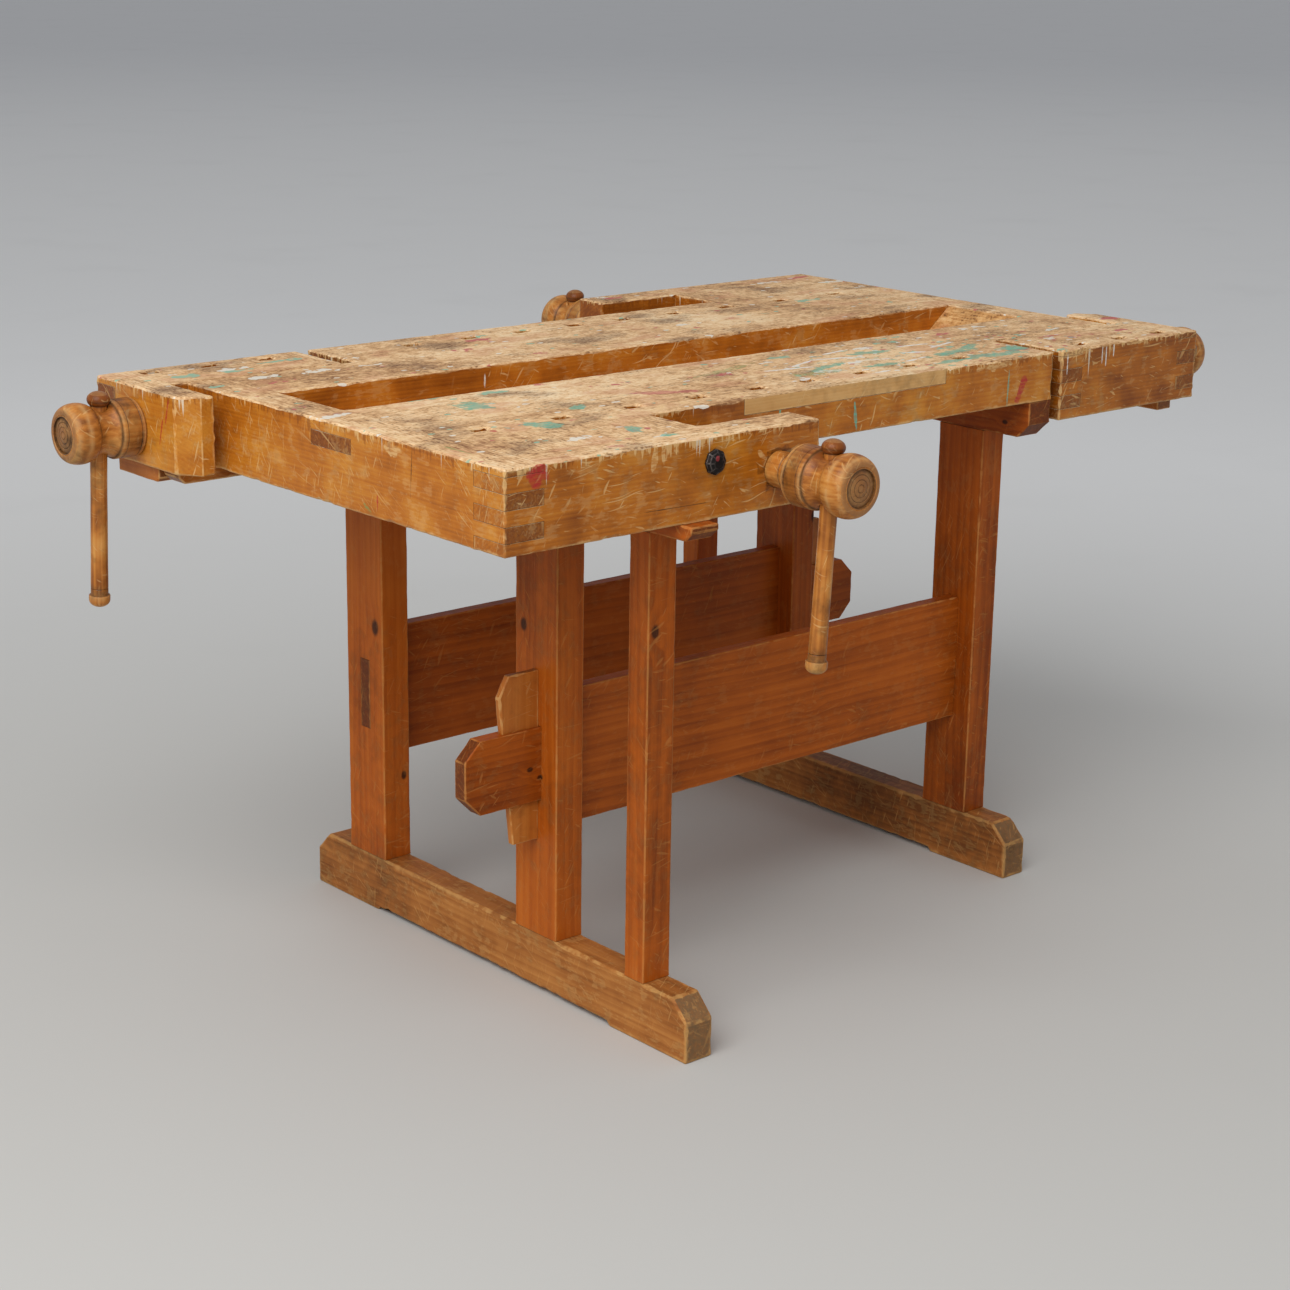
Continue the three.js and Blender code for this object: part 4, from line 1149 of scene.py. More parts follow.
@dataclass
class Board:
    """A sawn piece: its CAD solid with eased, chipped arrises and fibres that run one way."""

    node: str
    grain: Grain
    finish: Wood
    arris: float = 1.8
    chip: float = 2.0
    pitch: float = 13.0
    end_shares: tuple[float, float] = (1.0, 1.0)
    tone: float = 0.0
    joined: tuple[str, ...] = ()

    EASE = 0.3  # first rounding of every arris, in millimetres
    SEAM = 0.35  # rounding of an arris that lies against another piece
    ROOM = 0.42  # share of a face that its roundings may take
    STEP = 0.62  # share of the way to the next place that a rounding may take
    REACH = 1.7  # farthest place of a rounding from its arris, in widths
    SHARP = math.radians(24)
    FLAT = 1e-4

    def build(self, near: Neighbours, dresser: Dresser) -> bpy.types.Object:
        """Makes the board and lets it stand for its node.

        Args:
            near: Finds the neighbours.
            dresser: Where materials come from.

        Returns:
            The board.
        """
        shape = bmesh.new()
        shape.from_mesh(frame["nodes"][self.node].data)
        for layer in list(shape.loops.layers.uv):
            shape.loops.layers.uv.remove(layer)
        bmesh.ops.remove_doubles(shape, verts=shape.verts, dist=2e-5)
        self._cut_cells(shape)
        self._mark(shape, self._ease(shape, near))
        piece = mesh_object(f"{self.node}_board", shape)
        stand_for(piece, self.node, self.finish, dresser)
        return piece

    def _cut_cells(self, shape: bmesh.types.BMesh) -> None:
        """Cuts the loose triangles into clean cells, along the planes of the board's own faces."""
        planes = [self._planes(shape, axis) for axis in range(3)]
        for axis, places in enumerate(planes):
            way = Vector([float(i == axis) for i in range(3)])
            for place in places:
                geom = [*shape.verts, *shape.edges, *shape.faces]
                bmesh.ops.bisect_plane(shape, geom=geom, dist=1e-6, plane_co=way * place, plane_no=way)
        spare = [
            edge
            for edge in shape.edges
            if len(edge.link_faces) == 2
            and edge.calc_face_angle(1.0) < 0.01
            and not any(self._on_plane(edge, axis, planes[axis]) for axis in range(3))
        ]
        bmesh.ops.dissolve_edges(shape, edges=spare, use_verts=False, use_face_split=False)
        bmesh.ops.dissolve_verts(shape, verts=[vertex for vertex in shape.verts if self._idle(vertex)])

    def _idle(self, vertex: bmesh.types.BMVert) -> bool:
        """Whether a vertex only splits a straight edge."""
        if len(vertex.link_edges) != 2:
            return False
        first, second = (edge.other_vert(vertex).co - vertex.co for edge in vertex.link_edges)
        return first.angle(-second, math.pi) < 0.002

    def _planes(self, shape: bmesh.types.BMesh, axis: int) -> list[float]:
        """Where the board's faces and slopes begin and end along an axis.

        Args:
            shape: The board.
            axis: The axis.

        Returns:
            The places, from the lowest to the highest, without the board's two ends.
        """
        found = [face.verts[0].co[axis] for face in shape.faces if abs(face.normal[axis]) > 0.9999]
        slopes = {face for face in shape.faces if max(abs(n) for n in face.normal) < 0.9999}
        while slopes:
            group, front = set(), [slopes.pop()]
            while front:
                face = front.pop()
                group.add(face)
                beside = {other for edge in face.edges for other in edge.link_faces} & slopes
                slopes -= beside
                front += beside
            reach = [vertex.co[axis] for face in group for vertex in face.verts]
            found += [min(reach), max(reach)]
            if len(group) > 12:
                found.append((min(reach) + max(reach)) / 2)
        low, high = (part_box(self.node)[end][axis] for end in range(2))
        places: list[float] = []
        for place in sorted(found):
            if place - (places[-1] if places else low) > self.FLAT and high - place > self.FLAT:
                places.append(place)
        return places

    def _on_plane(self, edge: bmesh.types.BMEdge, axis: int, places: list[float]) -> bool:
        """Whether an edge lies in one of the planes across an axis."""
        first, second = (vertex.co[axis] for vertex in edge.verts)
        if abs(first - second) > self.FLAT / 2:
            return False
        return any(abs(first - place) < self.FLAT / 2 for place in places)

    def _ease(self, shape: bmesh.types.BMesh, near: Neighbours) -> dict[bmesh.types.BMFace, float]:
        """Rounds the arrises and chips them.

        Args:
            shape: The board.
            near: Finds the neighbours.

        Returns:
            The faces of the rounded arrises, each with 1, or with -1 along a seam.
        """
        by_cuts: dict[int, list[bmesh.types.BMEdge]] = {}
        rooms = {face: self._room(face) for face in shape.faces}
        for edge in self._arrises(shape):
            cuts = int(edge.calc_length() / (self.pitch * MM))
            if cuts:
                by_cuts.setdefault(cuts, []).append(edge)
        for cuts, edges in by_cuts.items():
            bmesh.ops.bisect_edges(shape, edges=edges, cuts=cuts)
        sharp = self._arrises(shape)
        stations = list({vertex: None for edge in sharp for vertex in edge.verts})
        steps: dict[bmesh.types.BMVert, float] = {}
        for edge in sharp:
            for vertex in edge.verts:
                steps[vertex] = min(edge.calc_length(), steps.get(vertex, math.inf))
        tree = KDTree(len(stations))
        seams, widths = [], []
        for index, vertex in enumerate(stations):
            tree.insert(vertex.co, index)
            seams.append(near.touch(self.node, vertex.co))
            room = min(rooms[face] for face in vertex.link_faces)
            width = self.SEAM if seams[-1] else self._width(vertex.co)
            widths.append(min(width, self.ROOM * room / MM, self.STEP * steps[vertex] / MM))
        tree.balance()
        made = bmesh.ops.bevel(
            shape,
            geom=sharp,
            offset=self.EASE * MM,
            offset_type="OFFSET",
            segments=2,
            profile=0.5,
            affect="EDGES",
            clamp_overlap=False,
            material=-1,
        )
        nearest = {vertex: tree.find(vertex.co)[:2] for vertex in made["verts"]}
        rounded = {}
        for face in made["faces"]:
            beside = [seams[nearest[vertex][1]] for vertex in face.verts if vertex in nearest]
            rounded[face] = -1.0 if all(beside) else 1.0
        for vertex, (place, index) in nearest.items():
            shift = (vertex.co - place) * (widths[index] / self.EASE)
            vertex.co = place + shift * min(1.0, self.REACH * widths[index] * MM / max(shift.length, 1e-9))
        return rounded

    def _room(self, face: bmesh.types.BMFace) -> float:
        """The shorter side of a face."""
        spans = [
            max(vertex.co[axis] for vertex in face.verts) - min(vertex.co[axis] for vertex in face.verts)
            for axis in range(3)
        ]
        return sorted(spans)[1]

    def _arrises(self, shape: bmesh.types.BMesh) -> list[bmesh.types.BMEdge]:
        """The outer edges that are sharp enough to be rounded."""
        return [
            edge
            for edge in shape.edges
            if len(edge.link_faces) == 2 and edge.is_convex and edge.calc_face_angle(0.0) > self.SHARP
        ]

    def _width(self, place: Vector) -> float:
        """The ragged rounding at a free place, in millimetres."""
        fine = noise.noise(place * 110.0)
        broad = noise.noise(place * 26.0 + Vector((3.1, 7.7, 1.3)))
        return self.arris * (1.0 + 0.4 * fine) + self.chip * max(0.0, broad + 0.6 * fine) ** 2 * 1.6

    def _mark(self, shape: bmesh.types.BMesh, rounded: dict[bmesh.types.BMFace, float]) -> None:
        """Writes what the finish reads: the way of the fibres, the distances to the faces, the faces.

        Args:
            shape: The board.
            rounded: The faces of the rounded arrises, each with 1, or with -1 along a seam.
        """
        boxes = [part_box(name) for name in (self.node, *self.joined)]
        low = self.grain.order(Vector([min(box[0][i] for box in boxes) for i in range(3)]))
        high = self.grain.order(Vector([max(box[1][i] for box in boxes) for i in range(3)]))
        draw = random.Random(min((self.node, *self.joined)))
        heart = Vector((draw.uniform(0, 40), draw.uniform(0.02, 0.09), draw.uniform(0.03, 0.12)))
        lift = self.tone + draw.uniform(-0.06, 0.06)
        corners = shape.verts.layers.float_vector
        grain, before, beyond, tone = (corners.new(n) for n in ("grain", "before", "beyond", "tone"))
        for vertex in shape.verts:
            place = self.grain.order(vertex.co)
            vertex[grain] = place - low + heart
            vertex[before] = place - low
            vertex[beyond] = high - place
            vertex[tone] = (lift, 0.0, 0.0)
        face_kind = shape.loops.layers.float_vector.new("face")
        for face in shape.faces:
            along = face.normal[self.grain.value[0]]
            kind = Vector((
                rounded.get(face, 0.0),
                self.end_shares[along > 0.0] if abs(along) > 0.7 else 0.0,
                1.0 if face.normal.z > 0.3 else 0.0,
            ))
            face.smooth = face in rounded
            for loop in face.loops:
                loop[face_kind] = kind


@dataclass
class Turning:
    """A piece turned on the lathe, with its outline in millimetres along and away from its axis."""

    node: str
    outline: Outline
    seat: Matrix
    finish: Wood
    grooves: tuple[float, ...] = ()
    crests: tuple[float, ...] = ()
    rings: tuple[float, ...] = ()
    thread: Union[tuple[float, float], None] = None
    bore: Union[tuple[float, float], None] = None
    steps: int = 72
    tone: float = 0.0

    THREAD_PITCH = 10.0
    THREAD_CORE = 19.4
    THREAD_CREST = 22.7
    THREAD_STEPS = 32
    FACE_DEPTH = 4.0

    def build(self, dresser: Dresser) -> bpy.types.Object:
        """Makes the turning and lets it stand for its node.

        Args:
            dresser: Where materials come from.

        Returns:
            The turning.
        """
        shape = bmesh.new()
        verts = [shape.verts.new((radius * MM, 0.0, at * MM)) for at, radius in self.outline]
        edges = [shape.edges.new(pair) for pair in zip(verts, verts[1:])]
        bmesh.ops.spin(
            shape,
            geom=verts + edges,
            cent=(0.0, 0.0, 0.0),
            axis=(0.0, 0.0, 1.0),
            angle=math.tau,
            steps=self.steps,
            use_merge=True,
        )
        outwards(shape)
        if self.bore:
            shape = self._drilled(shape)
        if self.thread:
            self._cut_thread(shape)
        self._mark(shape)
        bmesh.ops.transform(shape, matrix=self.seat, verts=shape.verts)
        piece = mesh_object(f"{self.node}_turned", shape)
        stand_for(piece, self.node, self.finish, dresser)
        return piece

    def _drilled(self, shape: bmesh.types.BMesh) -> bmesh.types.BMesh:
        """Drills the hole for the bar across the axis.

        Args:
            shape: The whole turning.

        Returns:
            The drilled turning.
        """
        at, radius = self.bore
        drill = bmesh.new()
        across = Matrix.Translation((0.0, 0.0, at * MM)) @ Matrix.Rotation(math.pi / 2, 4, "X")
        bmesh.ops.create_cone(
            drill,
            cap_ends=True,
            segments=48,
            radius1=radius * MM,
            radius2=radius * MM,
            depth=0.2,
            matrix=across,
        )
        whole = mesh_object(f"{self.node}_whole", shape)
        tool = mesh_object(f"{self.node}_drill", drill)
        cut = whole.modifiers.new("bore", "BOOLEAN")
        cut.operation, cut.solver, cut.object = "DIFFERENCE", "EXACT", tool
        ready = whole.evaluated_get(bpy.context.evaluated_depsgraph_get())
        drilled = bmesh.new()
        drilled.from_mesh(ready.data)
        for spare in (whole, tool):
            bpy.data.objects.remove(spare)
        return drilled

    def _cut_thread(self, shape: bmesh.types.BMesh) -> None:
        """Winds the thread's ridge about the core."""
        start, stop = self.thread
        turns = int((stop - start) / self.THREAD_PITCH)
        half = self.THREAD_PITCH * 0.42
        ridge = [(start, self.THREAD_CORE - 0.6), (start + half, self.THREAD_CREST)]
        ridge.append((start + 2 * half, self.THREAD_CORE - 0.6))
        verts = [shape.verts.new((radius * MM, 0.0, at * MM)) for at, radius in ridge]
        edges = [shape.edges.new((verts[i], verts[(i + 1) % 3])) for i in range(3)]
        old = set(shape.faces)
        steps = self.THREAD_STEPS * turns
        bmesh.ops.spin(
            shape,
            geom=verts + edges,
            cent=(0.0, 0.0, 0.0),
            axis=(0.0, 0.0, 1.0),
            dvec=(0.0, 0.0, self.THREAD_PITCH * MM / self.THREAD_STEPS),
            angle=math.tau * turns,
            steps=steps,
        )
        open_edges = [edge for edge in shape.edges if edge.is_boundary]
        bmesh.ops.holes_fill(shape, edges=open_edges, sides=3)
        bmesh.ops.recalc_face_normals(shape, faces=[face for face in shape.faces if face not in old])

    def _mark(self, shape: bmesh.types.BMesh) -> None:
        """Writes what the finish reads: fibres along the axis, dark grooves, rubbed crests."""
        draw = random.Random(self.node)
        heart = Vector((draw.uniform(0, 40), draw.uniform(0.01, 0.03), draw.uniform(0.02, 0.05)))
        lift = self.tone + draw.uniform(-0.08, 0.08)
        far = Vector((1.0, 1.0, 1.0))
        face_from = self.outline[-1][0] - self.FACE_DEPTH
        corners = shape.verts.layers.float_vector
        grain, before, beyond, tone = (corners.new(n) for n in ("grain", "before", "beyond", "tone"))
        for vertex in shape.verts:
            at, radius = vertex.co.z / MM, vertex.co.xy.length / MM
            vertex[grain] = Vector((vertex.co.z, vertex.co.x, vertex.co.y)) + heart
            vertex[before] = far
            vertex[beyond] = far
            # Darker colour in the turned grooves and, on the end face, in its rings.
            groove_darkening = [1.0 - abs(at - groove) / 1.6 for groove in self.grooves]
            if at > face_from:
                groove_darkening += [1.0 - abs(radius - ring) / 1.3 for ring in self.rings]
            vertex[tone] = (lift, max(0.0, *groove_darkening), 0.0)
        kind = shape.loops.layers.float_vector.new("face")
        for face in shape.faces:
            face.smooth = True
            for loop in face.loops:
                at = loop.vert.co.z / MM
                crest = max((1.0 - abs(at - spot) / 5.0 for spot in self.crests), default=0.0)
                loop[kind] = Vector((max(0.0, crest), 1.0 if abs(face.normal.z) > 0.8 else 0.0, 0.0))
        for edge in shape.edges:
            edge.smooth = len(edge.link_faces) == 2 and edge.calc_face_angle(0.0) < math.radians(32)


def ellipse(
    centre: tuple[float, float], halves: tuple[float, float], start: float, stop: float, steps: int
) -> Outline:
    """Points along part of an ellipse of an outline.

    Args:
        centre: The ellipse's middle, along the axis and away from it.
        halves: Its half sizes, along and away.
        start: The first angle, from the widest point towards the outer end.
        stop: The last angle.
        steps: How many steps lead there.

    Returns:
        The points.
    """
    angles = [start + (stop - start) * step / steps for step in range(steps + 1)]
    return [(centre[0] + halves[0] * math.sin(a), centre[1] + halves[1] * math.cos(a)) for a in angles]


def groove(at: float, radius: float, depth: float = 0.9, half: float = 0.9) -> Outline:
    """A groove cut with the tool's point into a straight length of an outline."""
    return [(at - half, radius), (at, radius - depth), (at + half, radius)]


@dataclass
class ViseScrew:
    """A wooden screw with its turned head, the bar through its waist and the bar's loose knob."""

    name: str
    side: Side
    origin: Point
    outward: Vector
    up: Vector
    shaft: Outline
    thread: tuple[float, float]
    radius: float = 23.0
    barrel: float = 39.0
    barrel_length: float = 36.0
    cove_length: float = 28.0
    cove_start: float = 36.0
    cove_end: float = 34.0
    waist: float = 30.0
    bead_core: float = 29.0
    bead_radius: float = 40.0
    bead_half: float = 20.0
    end_ring: float = 24.0
    recess: float = 2.5
    bar_radius: float = 11.5
    bar_drop: float = 240.0
    knob_seat: float = 34.83
    knob_radius: float = 15.0
    knob_half: float = 11.0

    def build(self, dresser: Dresser) -> None:
        """Makes the screw, the bar and the knob.

        Args:
            dresser: Where materials come from.
        """
        screw_seat = self._seat(Vector(self.origin) * MM, self.outward, self.up)
        waist_at = self.barrel_length + self.cove_length / 2
        middle = Vector(self.origin) * MM + self.outward * waist_at * MM
        bar_seat = self._seat(middle, self.up, self.outward)
        head = self._head()
        grooves = (-19.0, -13.0, -7.0, 7.0, 27.0, self.barrel_length - 0.6, 64.5)
        Turning(
            node=f"{self.side.word}_{self.name}_screw",
            outline=self.shaft + head,
            seat=screw_seat,
            finish=TURNED_BEECH,
            grooves=grooves,
            crests=(2.5, 32.5, 81.0, 97.0),
            rings=(self.end_ring, 17.0, 11.0, 5.0),
            thread=self.thread,
            bore=(waist_at, self.bar_radius + 0.5),
        ).build(dresser)
        Turning(
            node=f"{self.side.word}_{self.name}_bar",
            outline=self._bar(),
            seat=bar_seat,
            finish=TURNED_BEECH,
            grooves=(-222.5, -214.0, self.knob_seat),
            crests=(-236.0, -226.0),
            steps=48,
        ).build(dresser)
        Turning(
            node=f"{self.side.word}_{self.name}_knob",
            outline=self._knob(),
            seat=bar_seat,
            finish=TURNED_BEECH,
            grooves=(self.knob_seat, self.knob_seat + 6.0),
            steps=48,
            tone=-0.34,
        ).build(dresser)

    def _seat(self, origin: Vector, axis: Vector, across: Vector) -> Matrix:
        """The place of a turning, on this worker's side.

        Args:
            origin: Where its axis starts.
            axis: The way it points.
            across: A way that its X and Z axes' plane is square to.

        Returns:
            The matrix that takes a turning there.
        """
        z_axis = axis.normalized()
        y_axis = across.normalized()
        x_axis = y_axis.cross(z_axis)
        turn = Matrix((x_axis, y_axis, z_axis)).transposed().to_4x4()
        return self.side.turn @ Matrix.Translation(origin) @ turn

    def _head(self) -> Outline:
        """The head's outline: ringed neck, barrel, cove for the bar, bead and ringed end."""
        neck = [point for at in (-19.0, -13.0, -7.0) for point in groove(at, self.radius, 1.2, 1.4)]
        barrel = [(0.0, self.radius), (0.0, self.barrel - 3.4), (0.9, self.barrel - 1.4)]
        barrel += [(3.0, self.barrel), *groove(7.0, self.barrel), *groove(27.0, self.barrel)]
        barrel += [(33.0, self.barrel), (34.6, self.barrel - 0.7), (35.2, self.cove_start + 0.2)]
        barrel.append((self.barrel_length, self.cove_start))
        control = 2 * self.waist - (self.cove_start + self.cove_end) / 2
        cove = []
        for step in range(1, 17):
            t = step / 16
            radius = (1 - t) ** 2 * self.cove_start + 2 * t * (1 - t) * control + t**2 * self.cove_end
            cove.append((self.barrel_length + self.cove_length * t, radius))
        middle = cove[-1][0] + self.bead_half * math.sin(math.pi / 3)
        halves = (self.bead_half, self.bead_radius - self.bead_core)
        bead = ellipse((middle, self.bead_core), halves, -math.pi / 3, math.pi / 2, 20)
        end = middle + self.bead_half
        face = [(end, self.end_ring + 2.6), (end - 0.7, self.end_ring + 2.0), (end, self.end_ring + 1.4)]
        face += [(end, self.end_ring), (end - self.recess, self.end_ring)]
        for radius in (17.0, 11.0, 5.0):
            rise = end - self.recess * (radius / self.end_ring) ** 2
            face += [(rise, radius + 0.9), (rise - 0.6, radius), (rise, radius - 0.9)]
        face.append((end, 0.0))
        return neck + barrel + cove + bead + face

    def _bar(self) -> Outline:
        """The bar's outline: domed foot, collar, a shank thinner in its middle."""
        foot = self.bar_radius + 2.5
        dome = ellipse((10.0 - self.bar_drop, 0.0), (-10.0, foot), math.pi / 2, 0.0, 8)
        low = 17.0 - self.bar_drop
        bar = dome + [(low - 1.2, foot), (low - 0.3, foot - 0.8), (low, self.bar_radius)]
        bar += groove(-214.0, self.bar_radius, 0.7)
        for step in range(9):
            t = step / 8
            thin = 0.5 * math.sin(math.pi * t) + 0.12 * math.sin(math.tau * 2.3 * t)
            bar.append((-205.0 + (self.knob_seat + 203.0) * t, self.bar_radius - abs(thin)))
        return bar + [(self.knob_seat - 0.3, self.bar_radius - 0.4), (self.knob_seat - 0.3, 0.0)]

    def _knob(self) -> Outline:
        """The knob's outline: an egg with a flat seat."""
        seat_angle = math.acos((self.bar_radius + 0.1) / self.knob_radius)
        widest = self.knob_seat + self.knob_half * math.sin(seat_angle)
        halves = (self.knob_half, self.knob_radius)
        egg = ellipse((widest, 0.0), halves, -seat_angle, math.pi / 2, 16)
        return [(self.knob_seat, 0.0), *egg[:-1], (egg[-1][0], 0.0)]


@dataclass
class TieScrew:
    """The iron screw that ties the arm to the slab, with its forged head."""

    side: Side
    head_radius: float = 16.5
    head_height: float = 9.0
    flats: int = 8

    def build(self, dresser: Dresser) -> None:
        """Makes the screw: a shank and a head of forged flats.

        Args:
            dresser: Where materials come from.
        """
        node = f"{self.side.word}_tie_screw"
        low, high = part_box(node)
        centre = (low + high) / 2
        inward = 1.0 if self.side is Side.FRONT else -1.0
        outer = low.y if self.side is Side.FRONT else high.y
        base = outer + inward * self.head_height * MM
        tip = high.y if self.side is Side.FRONT else low.y
        shape = bmesh.new()
        made = bmesh.ops.create_circle(
            shape, cap_ends=True, segments=self.flats, radius=self.head_radius * MM
        )
        face = made["verts"][0].link_faces[0]
        for rise, share in ((0.34, 1.0), (0.4, 0.8), (0.26, 0.5)):
            grown = bmesh.ops.extrude_discrete_faces(shape, faces=[face])
            face = grown["faces"][0]
            lift = Vector((0.0, 0.0, rise * self.head_height * MM))
            bmesh.ops.translate(shape, vec=lift, verts=face.verts)
            ring = math.hypot(face.verts[0].co.x, face.verts[0].co.y)
            size = share * self.head_radius * MM / ring
            bmesh.ops.scale(shape, vec=(size, size, 1.0), verts=face.verts)
        bmesh.ops.holes_fill(shape, edges=[e for e in shape.edges if e.is_boundary], sides=self.flats)
        outwards(shape)
        sharp = [edge for edge in shape.edges if edge.calc_face_angle(0.0) > math.radians(15)]
        eased = bmesh.ops.bevel(
            shape,
            geom=sharp,
            offset=0.8 * MM,
            offset_type="OFFSET",
            segments=2,
            profile=0.5,
            affect="EDGES",
            clamp_overlap=True,
            material=-1,
        )
        rubbed = set(eased["faces"])
        kind = shape.loops.layers.float_vector.new("face")
        for face in shape.faces:
            face.smooth = face in rubbed
            for loop in face.loops:
                loop[kind] = Vector((1.0 if face in rubbed else 0.0, 0.0, 0.0))
        shank_length = abs(tip - base)
        shank = Matrix.Translation((0.0, 0.0, -shank_length / 2))
        bmesh.ops.create_cone(
            shape,
            cap_ends=True,
            segments=20,
            radius1=4.6 * MM,
            radius2=5.8 * MM,
            depth=shank_length,
            matrix=shank,
        )
        out = Vector((0.0, -inward, 0.0))
        turn = out.to_track_quat("Z", "X").to_matrix().to_4x4()
        seat = Matrix.Translation((centre.x, base, centre.z)) @ turn
        bmesh.ops.transform(shape, matrix=seat, verts=shape.verts)
        piece = mesh_object(f"{node}_forged", shape)
        stand_for(piece, node, BLACK_IRON, dresser)


# ---------------------------------------------------------------------------------------------
# Sub-assemblies
# ---------------------------------------------------------------------------------------------


@dataclass
class Trestle:
    """A trestle: foot, three posts and top rail."""

    end: str
    tone: float
    post_arris: float = 1.6
    foot_arris: float = 3.0
    rail_arris: float = 2.4

    def build(self, near: Neighbours, dresser: Dresser) -> None:
        """Makes the trestle's boards.

        Args:
            near: Finds the neighbours.
            dresser: Where materials come from.
        """
        for post, tone in (("far_post", -0.06), ("near_post", 0.02), ("vise_post", -0.02)):
            Board(
                f"{self.end}_{post}", Grain.Z, TRESTLE_PINE, self.post_arris, 1.6, tone=self.tone + tone
            ).build(near, dresser)
        Board(
            f"{self.end}_top_rail", Grain.Y, TRESTLE_PINE, self.rail_arris, 2.4, tone=self.tone + 0.1
        ).build(near, dresser)
        Board(f"{self.end}_foot", Grain.Y, FOOT_PINE, self.foot_arris, 4.5, 10.0).build(near, dresser)


@dataclass
class Stretchers:
    """The two stretchers with their wedges."""

    arris: float = 1.5
    wedge_arris: float = 1.6

    def build(self, near: Neighbours, dresser: Dresser) -> None:
        """Makes the stretchers and wedges.

        Args:
            near: Finds the neighbours.
            dresser: Where materials come from.
        """
        for side in Side:
            Board(
                f"{side.word}_stretcher", Grain.X, TRESTLE_PINE, self.arris, 2.0, tone=0.16
            ).build(near, dresser)
            Board(f"{side.word}_wedge", Grain.Z, WEDGE_WOOD, self.wedge_arris, 1.6, 8.0).build(near, dresser)


@dataclass
class Top:
    """The top: slabs, end caps, tray and the repaired edge."""

    arris: float = 2.0
    chip: float = 4.5
    cap_arris: float = 2.2
    pitch: float = 8.0

    def build(self, near: Neighbours, dresser: Dresser) -> None:
        """Makes the top's boards.

        Args:
            near: Finds the neighbours.
            dresser: Where materials come from.
        """
        for side in Side:
            pair = (f"{side.word}_plank", f"{side.word}_dog_strip")
            for node in pair:
                Board(
                    node, Grain.X, TOP_WOOD, self.arris, self.chip, self.pitch, joined=pair
                ).build(near, dresser)
        for end in ("left", "right"):
            Board(
                f"{end}_end_cap", Grain.Y, BENCH_WOOD, self.cap_arris, self.chip, self.pitch, tone=0.06
            ).build(near, dresser)
            Board(f"{end}_tray_ramp", Grain.Y, TRAY_WOOD, 0.8, 0.8).build(near, dresser)
        Board("tray_floor", Grain.X, TRAY_WOOD, 0.8, 0.5).build(near, dresser)
        Board("front_edge_repair", Grain.X, PALE_REPAIR, 0.9, 1.6, 9.0).build(near, dresser)


@dataclass
class ShoulderVise:
    """A shoulder vise: arm, spacer, tie screw, pad, screw, bar and knob."""

    side: Side
    screw_place: Point = (-265.0, -512.0, 745.0)
    bar_tilt: float = 3.5
    tip: float = -138.0
    nose_end: float = -121.5
    nose_radius: float = 14.0
    thread: tuple[float, float] = (-119.0, -68.0)

    def build(self, near: Neighbours, dresser: Dresser) -> None:
        """Makes the vise.

        Args:
            near: Finds the neighbours.
            dresser: Where materials come from.
        """
        word = self.side.word
        Board(
            f"{word}_shoulder_arm", Grain.X, BENCH_WOOD, 2.2, 4.0, 8.0, (0.15, 0.15)
        ).build(near, dresser)
        Board(f"{word}_shoulder_spacer", Grain.Y, TOP_WOOD, 1.8, 2.0).build(near, dresser)
        Board(f"{word}_shoulder_pad", Grain.X, BENCH_WOOD, 2.0, 2.0).build(near, dresser)
        TieScrew(self.side).build(dresser)
        core = Turning.THREAD_CORE
        start, stop = self.thread
        shaft = [(self.tip, 0.0), (self.tip, self.nose_radius - 3.0), (self.tip + 3.0, self.nose_radius)]
        shaft += [(self.nose_end, self.nose_radius), (self.nose_end, core), (stop + 2.0, core)]
        shaft += [(stop + 6.0, 23.0), (-24.0, 23.0)]
        tilt = math.radians(self.bar_tilt)
        ViseScrew(
            name="shoulder",
            side=self.side,
            origin=self.screw_place,
            outward=Vector((0.0, -1.0, 0.0)),
            up=Vector((math.sin(tilt), 0.0, math.cos(tilt))),
            shaft=shaft,
            thread=(start, stop),
        ).build(dresser)


